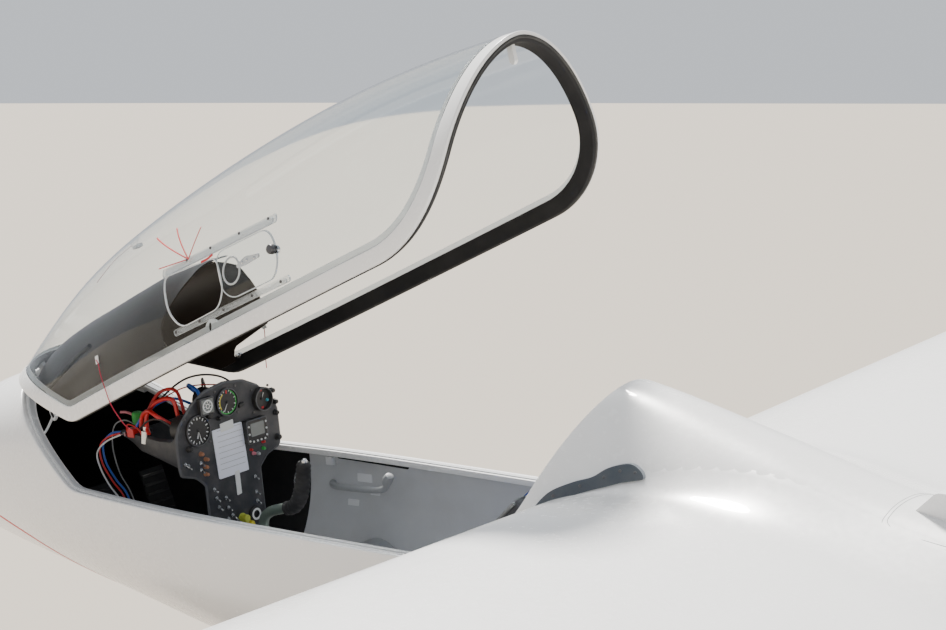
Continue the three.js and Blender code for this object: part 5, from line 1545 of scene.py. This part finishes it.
fitted(turned("green_cap_front", (852, -60, 874), (0, 0, 1), cap_profile, mark_green, turns=28), "airframe",
       None)
fitted(rod("pod_connector", [(848, -104, 846), (860, -118, 850), (880, -124, 852)], 5, steel), "airframe",
       "steel")
plug_profile = [(-14, 0), (-14, 13), (16, 13), (16, 9), (26, 9), (27, 0)]
fitted(turned("silver_connector", (948, -120, 852), (0.2, 0, 1), plug_profile, steel, turns=20), "airframe",
       "steel")
fitted(block("orange_plug", (886, -124, 846), (908, -108, 866), tube_red), "airframe", None)
fitted(rod("pink_lead", smooth([(846, -60, 876), (820, -62, 884), (800, -66, 884)], 20), 3, knob_pink),
       "airframe", None)


# Controls: the stick with its ribbed grip, two rudder pedals, the airbrake lever on the left wall and the
# landing gear's lever on the right wall, each lever a painted tube with a rounded handle.
stick_paint = painted("stick_paint", (0.155, 0.20, 0.165), 0.45, metallic=0.2, wear=0.3, patches=20.0)
grip_black = painted("grip_rubber", (0.014, 0.014, 0.015), 0.75, wear=0.25, grain=900.0, bump=0.4)
lever_blue = painted("lever_blue", (0.02, 0.07, 0.36), 0.4, wear=0.1)
stick_line = smooth([(1180, 0, 478), (1178, 0, 560), (1180, 0, 640), (1204, 0, 668), (1248, 0, 682),
                     (1290, 0, 694)], 50)
fitted(rod("stick_tube", stick_line, 12, stick_paint, sides=24), "airframe", "stick", "control_stick")
boot = [(0, 0), (0, 40), (6, 38), (10, 30), (14, 33), (18, 25), (22, 28), (27, 19), (31, 22), (36, 14),
        (44, 13), (44, 0)]
fitted(turned("stick_boot", (1180, 0, 466), (0.05, 0, 1), boot, grip_black, turns=40), "airframe", "rubber")
grip_line = smooth([(1262, 0, 684), (1288, 0, 692), (1310, 0, 716), (1324, 0, 752), (1334, 0, 792),
                    (1336, 0, 800)], 60)
share = np.linspace(0, 1, 60)
grip_reach = 15.5 + 2.2 * np.sin(share * 3.2) + 0.9 * np.sin(share * 75)
grip_reach[[0, -1]] = 9
fitted(rod("stick_grip", grip_line, grip_reach, grip_black, sides=28), "airframe", "rubber")
fitted(turned("grip_button", (1337, 0, 800), (0.05, 0, 1),
              [(-2, 0), (-2, 7), (2, 7), (6, 5.5), (7.5, 3), (8, 0)], steel, turns=24), "airframe", "steel")
fitted(rod("grip_trigger", smooth([(1310, 0, 732), (1300, 0, 750), (1308, 0, 770)], 16), 3.5, steel),
       "airframe", "steel")
seat_grey = painted("seat_grey", (0.33, 0.34, 0.35), 0.5, wear=0.35, patches=10.0, grain=350.0, bump=0.2)
levers = [
    ("airbrake_lever", [(1314, -308, 640), (1345, -262, 640), (1400, -240, 640), (1520, -236, 650),
                        (1560, -232, 690)],
     lever_blue, "strap"),
    ("gear_lever", [(1114, 308, 660), (1145, 262, 660), (1200, 238, 664), (1330, 236, 672), (1360, 232, 700)],
     seat_grey, "black"),
]
for name, points, finish, sill_shade in levers:
    line = smooth(points, 60)
    inside = np.abs(line[:, 1]) < beam(line[:, 0], line[:, 2], wall + 0.5)
    fitted(rod(f"{name}_tube", line[inside], 8, finish, sides=18), "airframe", sill_shade, name)
    end, before = line[-1], line[-8]
    axis = (end - before) / np.linalg.norm(end - before)
    handle = [(-14, 0), (-14, 9.5), (-8, 11.5), (0, 12.2), (8, 11.5), (14, 9.5), (16, 6), (16.6, 0)]
    fitted(turned(f"{name}_handle", end, axis, handle, finish, turns=26), "airframe", sill_shade)
for name, side in sides:
    plate = slab(f"pedal_plate_{name}", [(742, 560), (748, 557), (702, 700), (696, 698)], side * 83 - 37,
                 side * 83 + 37, black_paint, crease=30)
    fitted(plate, "airframe", "black", f"rudder_pedal_{name}")
    ribs = []
    for step in np.linspace(0.15, 0.9, 6):
        x, z = 748 - 46 * step, 557 + 143 * step
        ribs.append((*brick((x - 1, side * 83 - 34, z - 3), (x + 3.5, side * 83 + 34, z + 3)), 0))
    ribs.append((*brick((736, side * 83 - 8, 520), (756, side * 83 + 8, 572)), 0))
    fitted(gathered(f"pedal_ribs_{name}", ribs, [grip_black]), "airframe", "rubber")


# Cockpit floor, seat pan and seat back: moulded glassfibre shells painted pale grey that reach to the hull's
# inner wall.
seat_pan_line = [(1230, 528), (1300, 548), (1400, 508), (1540, 448), (1690, 440)]
seat_back_line = [(1704, 447), (1800, 530), (2000, 694), (2204, 862)]
floor_line = [(640, 560), (800, 520), (1222, 470)]


def cross_shell(name, line, thick, inset, finish, half=260, columns=41, dish=0.0):
    """A shell across the hull along a side-view line, as wide as the hull inside, dished in the middle."""
    rows = smooth(line, 40)
    share = np.linspace(-1, 1, columns)
    rings = []
    for (x, z), (lift_x, lift_z) in zip(rows, flat_normals(rows)):
        low = z - thick - dish
        width = min(half, beam(np.array([x]), np.array([z]), inset)[0],
                    beam(np.array([x]), np.array([low]), inset)[0])
        sag = dish * (1 - share**4)
        top = np.stack([x - lift_x * sag, share * width, z - lift_z * sag], axis=1)
        under = top - thick * np.array([lift_x, 0, lift_z])
        rings.append(np.concatenate([top, under[::-1]]))
    return lofted(name, rings, finish, crease=40)


off_wall = wall + 1.5
fitted(cross_shell("seat_pan_shell", seat_pan_line, 5, off_wall, seat_grey, dish=8), "airframe", "lining",
       "seat_pan")
fitted(cross_shell("seat_back_shell", seat_back_line, 6, 36, seat_grey, dish=6), "airframe", "lining",
       "seat_back")
fitted(cross_shell("floor_shell", floor_line, 5, off_wall, seat_grey), "airframe", "lining", "cockpit_floor")


# Back cushion: a foam pad in dark grey cloth on the seat back, swollen a little by its filling, with piping
# down its two sides.
cloth_grey = painted("cushion_cloth", (0.055, 0.06, 0.07), 0.95, wear=0.25, patches=15.0, grain=1400.0,
                     bump=0.6)
piping_grey = painted("cushion_piping", (0.16, 0.17, 0.18), 0.8, grain=900.0, bump=0.4)


def padded_copy(source, name, finish, voxel, most):
    """A soft piece grown out of a plain solid: remeshed, then blown up a little as cloth."""
    pad = bpy.data.objects.new(name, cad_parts[source].data.copy())
    bpy.context.scene.collection.objects.link(pad)
    remesh = pad.modifiers.new("remesh", "REMESH")
    remesh.mode, remesh.voxel_size = "VOXEL", voxel
    evaluated(pad)
    before = np.array([tuple(v.co) for v in pad.data.vertices])
    cloth = pad.modifiers.new("cloth", "CLOTH")
    cloth.settings.quality = 6
    cloth.settings.mass = 0.3
    cloth.settings.use_pressure = True
    cloth.settings.uniform_pressure_force = 4
    cloth.settings.effector_weights.gravity = 0
    scene = bpy.context.scene
    cloth.point_cache.frame_start, cloth.point_cache.frame_end = 1, 20
    for number in range(1, 21):
        scene.frame_set(number)
    evaluated(pad)
    scene.frame_set(1)
    after = np.array([tuple(v.co) for v in pad.data.vertices])
    move = after - before
    size = np.maximum(np.linalg.norm(move, axis=1), 1e-9)
    after = before + move * np.minimum(1, most / size)[:, None]
    pad.data.vertices.foreach_set("co", after.ravel())
    ease = pad.modifiers.new("ease", "SMOOTH")
    ease.factor, ease.iterations = 0.5, 3
    finer = pad.modifiers.new("finer", "SUBSURF")
    finer.levels = finer.render_levels = 1
    evaluated(pad)
    finished(pad, finish)
    pad.data.shade_smooth()
    return pad


cushion = fitted(padded_copy("back_cushion", "back_pad", cloth_grey, 0.008, 0.008), "airframe", "cushion",
                 "back_cushion")
cushion_line = smooth([(1716, 462), (1800, 536), (2000, 700), (2150, 824)], 60)
for name, side in sides:
    edge = np.column_stack([cushion_line[:, 0] - 18, np.full(60, side * 197.0), cushion_line[:, 1] + 22])
    edge = edge[np.abs(edge[:, 1]) < beam(edge[:, 0], edge[:, 2], 38)]
    fitted(rod(f"piping_{name}", edge, 4, piping_grey), "airframe", "cushion")


# Harness: two shoulder straps over the cushion and two lap straps on the seat pan, of blue webbing with a
# flat steel buckle each.
strap_blue = painted("strap_blue", (0.012, 0.055, 0.33), 0.85, wear=0.15, grain=1200.0, bump=0.5)


def webbing(name, line, centre, width, thick, finish, wave=0.0):
    """A flat strap along a side-view line, with softly rounded edges and a slight wave."""
    rows = smooth(line, 70)
    section_y = np.array([-1, -0.94, 0.94, 1, 1, 0.94, -0.94, -1]) * width / 2
    section_up = np.array([0.3, 0.5, 0.5, 0.3, -0.3, -0.5, -0.5, -0.3]) * thick
    rings = []
    for number, ((x, z), (out_x, out_z)) in enumerate(zip(rows, flat_normals(rows))):
        sway = wave * math.sin(number / 9)
        rings.append(np.column_stack([x + out_x * section_up, centre + sway + section_y,
                                      z + out_z * section_up]))
    return lofted(name, rings, finish, crease=50)


def buckle(name, x, y, z, slope, width):
    """A flat frame of steel with a bar across it, lying on a strap."""
    c, s, half = math.cos(slope), math.sin(slope), width / 2
    bars = [  # low corner, high corner
        ((-20, -half - 5, 0), (20, -half, 5)), ((-20, half, 0), (20, half + 5, 5)),
        ((-20, -half, 0), (-15, half, 5)), ((15, -half, 0), (20, half, 5)), ((-3, -half, 1), (4, half, 7)),
    ]
    parts = []
    for low, high in bars:
        points, faces = brick(low, high)
        points = np.array(points)
        points = np.column_stack([x + points[:, 0] * c - points[:, 2] * s, y + points[:, 1],
                                  z + points[:, 0] * s + points[:, 2] * c])
        parts.append((points, faces, 0))
    return gathered(name, parts, [steel])


shoulder_line = [(2148, 878), (2086, 834), (2024, 779), (1960, 726), (1896, 666), (1846, 640), (1796, 606)]
lap_line = [(1440, 495), (1500, 470), (1560, 452), (1620, 448), (1680, 446)]
straps = [  # name, line, distance from the centre line, width, wave, then x, z, slope and width of the buckle
    ("shoulder", shoulder_line, 92, 48, 1.5, 1900, 673, 39, 50),
    ("lap", lap_line, 142.5, 45, 2, 1500, 474, -20, 47),
]
for name, side in sides:
    for kind, line, apart, width, wave, x, z, slope, inside in straps:
        strap = webbing(f"{kind}_webbing_{name}", line, side * apart, width, 2.6, strap_blue, wave)
        fitted(strap, "airframe", "strap", f"{kind}_strap_{name}")
        clasp = buckle(f"{kind}_buckle_{name}", x, side * apart, z, math.radians(slope), inside)
        fitted(clasp, "airframe", "steel")


# Side walls: a few placards without lettering, a dark strip of painted shade under the sill on each wall and
# a small bracket on the right wall.
placard = painted("placard_white", (0.78, 0.79, 0.80), 0.4, wear=0.1)
for number, (x, z, width, height) in enumerate([(1210, 668, 46, 20), (1250, 640, 30, 16),
                                                (1180, 610, 34, 14)]):
    spot = rounded([(x, z), (x + width, z), (x + width, z + height), (x, z + height)], 2)
    fitted(skin_plate(f"wall_placard_{number}", spot, wall + 0.1, wall + 1.2, placard, placed, 1),
           "airframe", "paper")
bracket = rounded([(1120, 702), (1142, 702), (1142, 722), (1120, 722)], 2)
fitted(skin_plate("wall_bracket", bracket, wall + 0.1, wall + 9, placard, placed, 1), "airframe", "paper")
# Thin black plates just under the sill's lip, one on each wall: painted shade.
for name, side, z in (("gear", 1, 718), ("brake", -1, 690)):
    spot = rounded([(1150, z), (1378, z - 6), (1378, z + 6), (1150, z + 12)], 6)
    fitted(skin_plate(f"{name}_slot", spot, wall + 0.1, wall + 0.8, black_paint, placed, side), "airframe",
           "black")


# Main and tail wheels and the main gear: alloy rims with six nuts on each side, tyres, the main one with
# grooves and blocks of tread, steel legs, and two white doors that hang open under the belly.
tyre_rubber = painted("tyre_rubber", (0.014, 0.014, 0.015), 0.85, wear=0.5, patches=25.0, grain=700.0,
                      bump=0.4)
rim_grey = painted("rim_alloy", (0.42, 0.43, 0.44), 0.35, metallic=0.9, wear=0.3)
leg_grey = painted("leg_paint", (0.35, 0.36, 0.37), 0.4, metallic=0.3, wear=0.4, patches=20.0)
main_x, main_z, tail_wheel_z = 1990, 175, 99.6
# Wheels: name, x, z, radius, half the tyre's section, radius of the rim, half its width, radius of its bore.
wheels = [
    ("main", main_x, main_z, 175, 60, 100, 50, 9.6),
    ("tail", tail_wheel_x, tail_wheel_z, 100, 26, 50, 24, 6.6),
]
nut_count, tread_count, tread_middle, tread_reach = 6, 64, 115, 60.6


def tyre_profile(radius, reach, rim, steps=36):
    """(y, radius) round a tyre: its outer side, then down to the rim, with shallow grooves in the tread."""
    middle = radius - reach
    start = math.acos((rim + 0.3 - middle) / reach)
    profile = []
    for angle in np.linspace(-start, start, steps):
        groove = 1.8 if abs(abs(math.degrees(angle)) - 22) < 3 and radius > 120 else 0
        profile.append(((reach - groove) * math.sin(angle), middle + (reach - groove) * math.cos(angle)))
    return profile


for name, x, z, radius, reach, rim, half, bore in wheels:
    centre, owner = (x, 0, z), f"{name}_wheel"
    fitted(turned(f"{name}_tyre_ring", centre, (0, 1, 0), tyre_profile(radius, reach, rim), tyre_rubber,
                  turns=96, hollow=True), owner, "tyre", f"{name}_tyre")
    core = rim * 0.28
    profile = [(half * 0.72, bore), (half * 0.72, core), (half * 0.25, core * 1.1), (half * 0.2, rim * 0.8),
               (half - 3, rim * 0.86), (half, rim * 0.9), (half, rim), (half - 5, rim)]
    profile = [(-y, out) for y, out in profile] + profile[::-1]
    fitted(turned(f"{name}_rim_ring", centre, (0, 1, 0), profile, rim_grey, turns=72, hollow=True), owner,
           "steel", f"{name}_rim")
    angle = np.arange(nut_count) / nut_count * 2 * math.pi
    nut = [(-3, 0), (-3, rim * 0.07), (4, rim * 0.07), (5, rim * 0.05), (5, 0)]
    for place, side in sides:
        spots = np.column_stack([x + rim * 0.52 * np.cos(angle), np.full(nut_count, side * half * 0.24),
                                 z + rim * 0.52 * np.sin(angle)])
        axes = [(0, side, 0)] * nut_count
        fitted(studs(f"{name}_nuts_{place}", nut, spots, axes, steel, turns=6), owner, "steel")
    for lane, shift in ((-36, 0), (36, 0.5)) if name == "main" else ():
        angle = np.arange(tread_count) / tread_count * 2 * math.pi + shift * 2 * math.pi / tread_count
        lean_in = math.radians(lane)
        out = tread_middle + tread_reach * math.cos(lean_in)
        spots = np.column_stack([x + out * np.cos(angle),
                                 np.full(tread_count, tread_reach * math.sin(lean_in)),
                                 z + out * np.sin(angle)])
        axes = np.column_stack([np.cos(angle) * math.cos(lean_in), np.full(tread_count, math.sin(lean_in)),
                                np.sin(angle) * math.cos(lean_in)])
        lug = shaped("tread_block", *brick((-3, -6, -2), (3, 6, 0.6)), tyre_rubber, bench, crease=20)
        fitted(repeated(f"tread_{lane}", lug, spots, axes, tyre_rubber), owner, "tyre")

leg_outline = [(1975, 160), (2005, 160), (2122, 436), (2090, 452), (2078, 440), (1975, 190)]
door_outline = [(88, 340), (94, 340), (112, 196), (106, 196)]
leg_inside, leg_outside, cross_x, cross_z, axle_reach = 64, 72, 2100, 430, 9
for name, side in sides:
    low, high = sorted((side * leg_inside, side * leg_outside))
    leg = slab(f"leg_{name}", rounded(leg_outline, 8, 100), low, high, leg_grey)
    carved(leg, tube("axle_hole", (main_x, -90, main_z), (main_x, 90, main_z), axle_reach + 0.2, leg_grey))
    fitted(leg, "airframe", "steel", "gear_legs")
    nut = turned(f"axle_nut_{name}", (main_x, side * (leg_outside + 0.2), main_z), (0, side, 0),
                 [(0, 9.3), (0, 15), (4, 15), (5.5, 13), (5.5, 9.3)], steel, turns=6, hollow=True)
    fitted(nut, "airframe", "steel")
    flat = rounded([(y * side, z) for y, z in door_outline], 2.4, 60)
    door = slab(f"door_{name}", flat, well_from + 10, well_to - 10, gelcoat, axis=0)
    fitted(door, "airframe", "gelcoat", f"gear_door_{name}")
for name, x, z, half, reach, finish, nodes in (
    ("leg_cross_tube", cross_x, cross_z, well_half - 0.4, 15, leg_grey, []),
    ("main_axle_bar", main_x, main_z, 78, axle_reach, steel, ["main_axle"]),
    ("tail_axle_bar", tail_wheel_x, tail_wheel_z, 50, 6, steel, ["tail_axle"]),
):
    fitted(tube(name, (x, -half, z), (x, half, z), reach, finish), "airframe", "steel", *nodes)


# Tow hook, the outlet on the boom's back and the energy probe on the fin. The tip skids and the canopy's
# hinge are shown as the CAD made them, with finishes of their own.
hook_outline = [(955, 470), (955, 404), (985, 380), (1040, 380), (1052, 396), (1052, 470)]
hook = slab("hook_block", rounded(hook_outline, 8), -14, 14, black_paint)
carved(hook, tube("hook_mouth", (1006, -40, 396), (1006, 40, 396), 9, black_paint))
fitted(hook, "airframe", "black", "tow_hook")
fitted(turned("hook_ring", (1006, 0, 396), (0, 1, 0), [(-3, 8.9), (-3, 7), (3, 7), (3, 8.9)], steel,
              turns=36, hollow=True), "airframe", "steel")
scoop = slab("outlet_shell", rounded([(2930, 868), (2990, 918), (3060, 916), (3060, 846), (2930, 846)], 10),
             -34, 34, gelcoat)
carved(scoop, block("outlet_mouth", (3040, -28, 868), (3080, 28, 910), gelcoat))
fitted(scoop, "airframe", "gelcoat", "air_outlet")
# A black plate at the back of the outlet's mouth: painted shade for the dark inside of the opening.
fitted(block("outlet_dark", (3036, -27.5, 868.5), (3040.5, 27.5, 909.5), black_paint), "airframe", "black")
probe = smooth([(6290, 0, 1180), (6180, 0, 1180), (6080, 0, 1183), (6020, 0, 1186)], 40)
probe_reach = np.full(40, 5.0)
probe_reach[-8:] = np.linspace(5, 2.6, 8)
fitted(rod("probe_tube", probe, probe_reach, steel), "airframe", "steel", "energy_probe")
skid_rubber = painted("skid_rubber", (0.02, 0.02, 0.021), 0.8, wear=0.5, bump=0.3)
for name, finish in (("tip_skid_left", skid_rubber), ("tip_skid_right", skid_rubber),
                     ("canopy_hinge", leg_grey)):
    finished(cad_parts[name], finish)
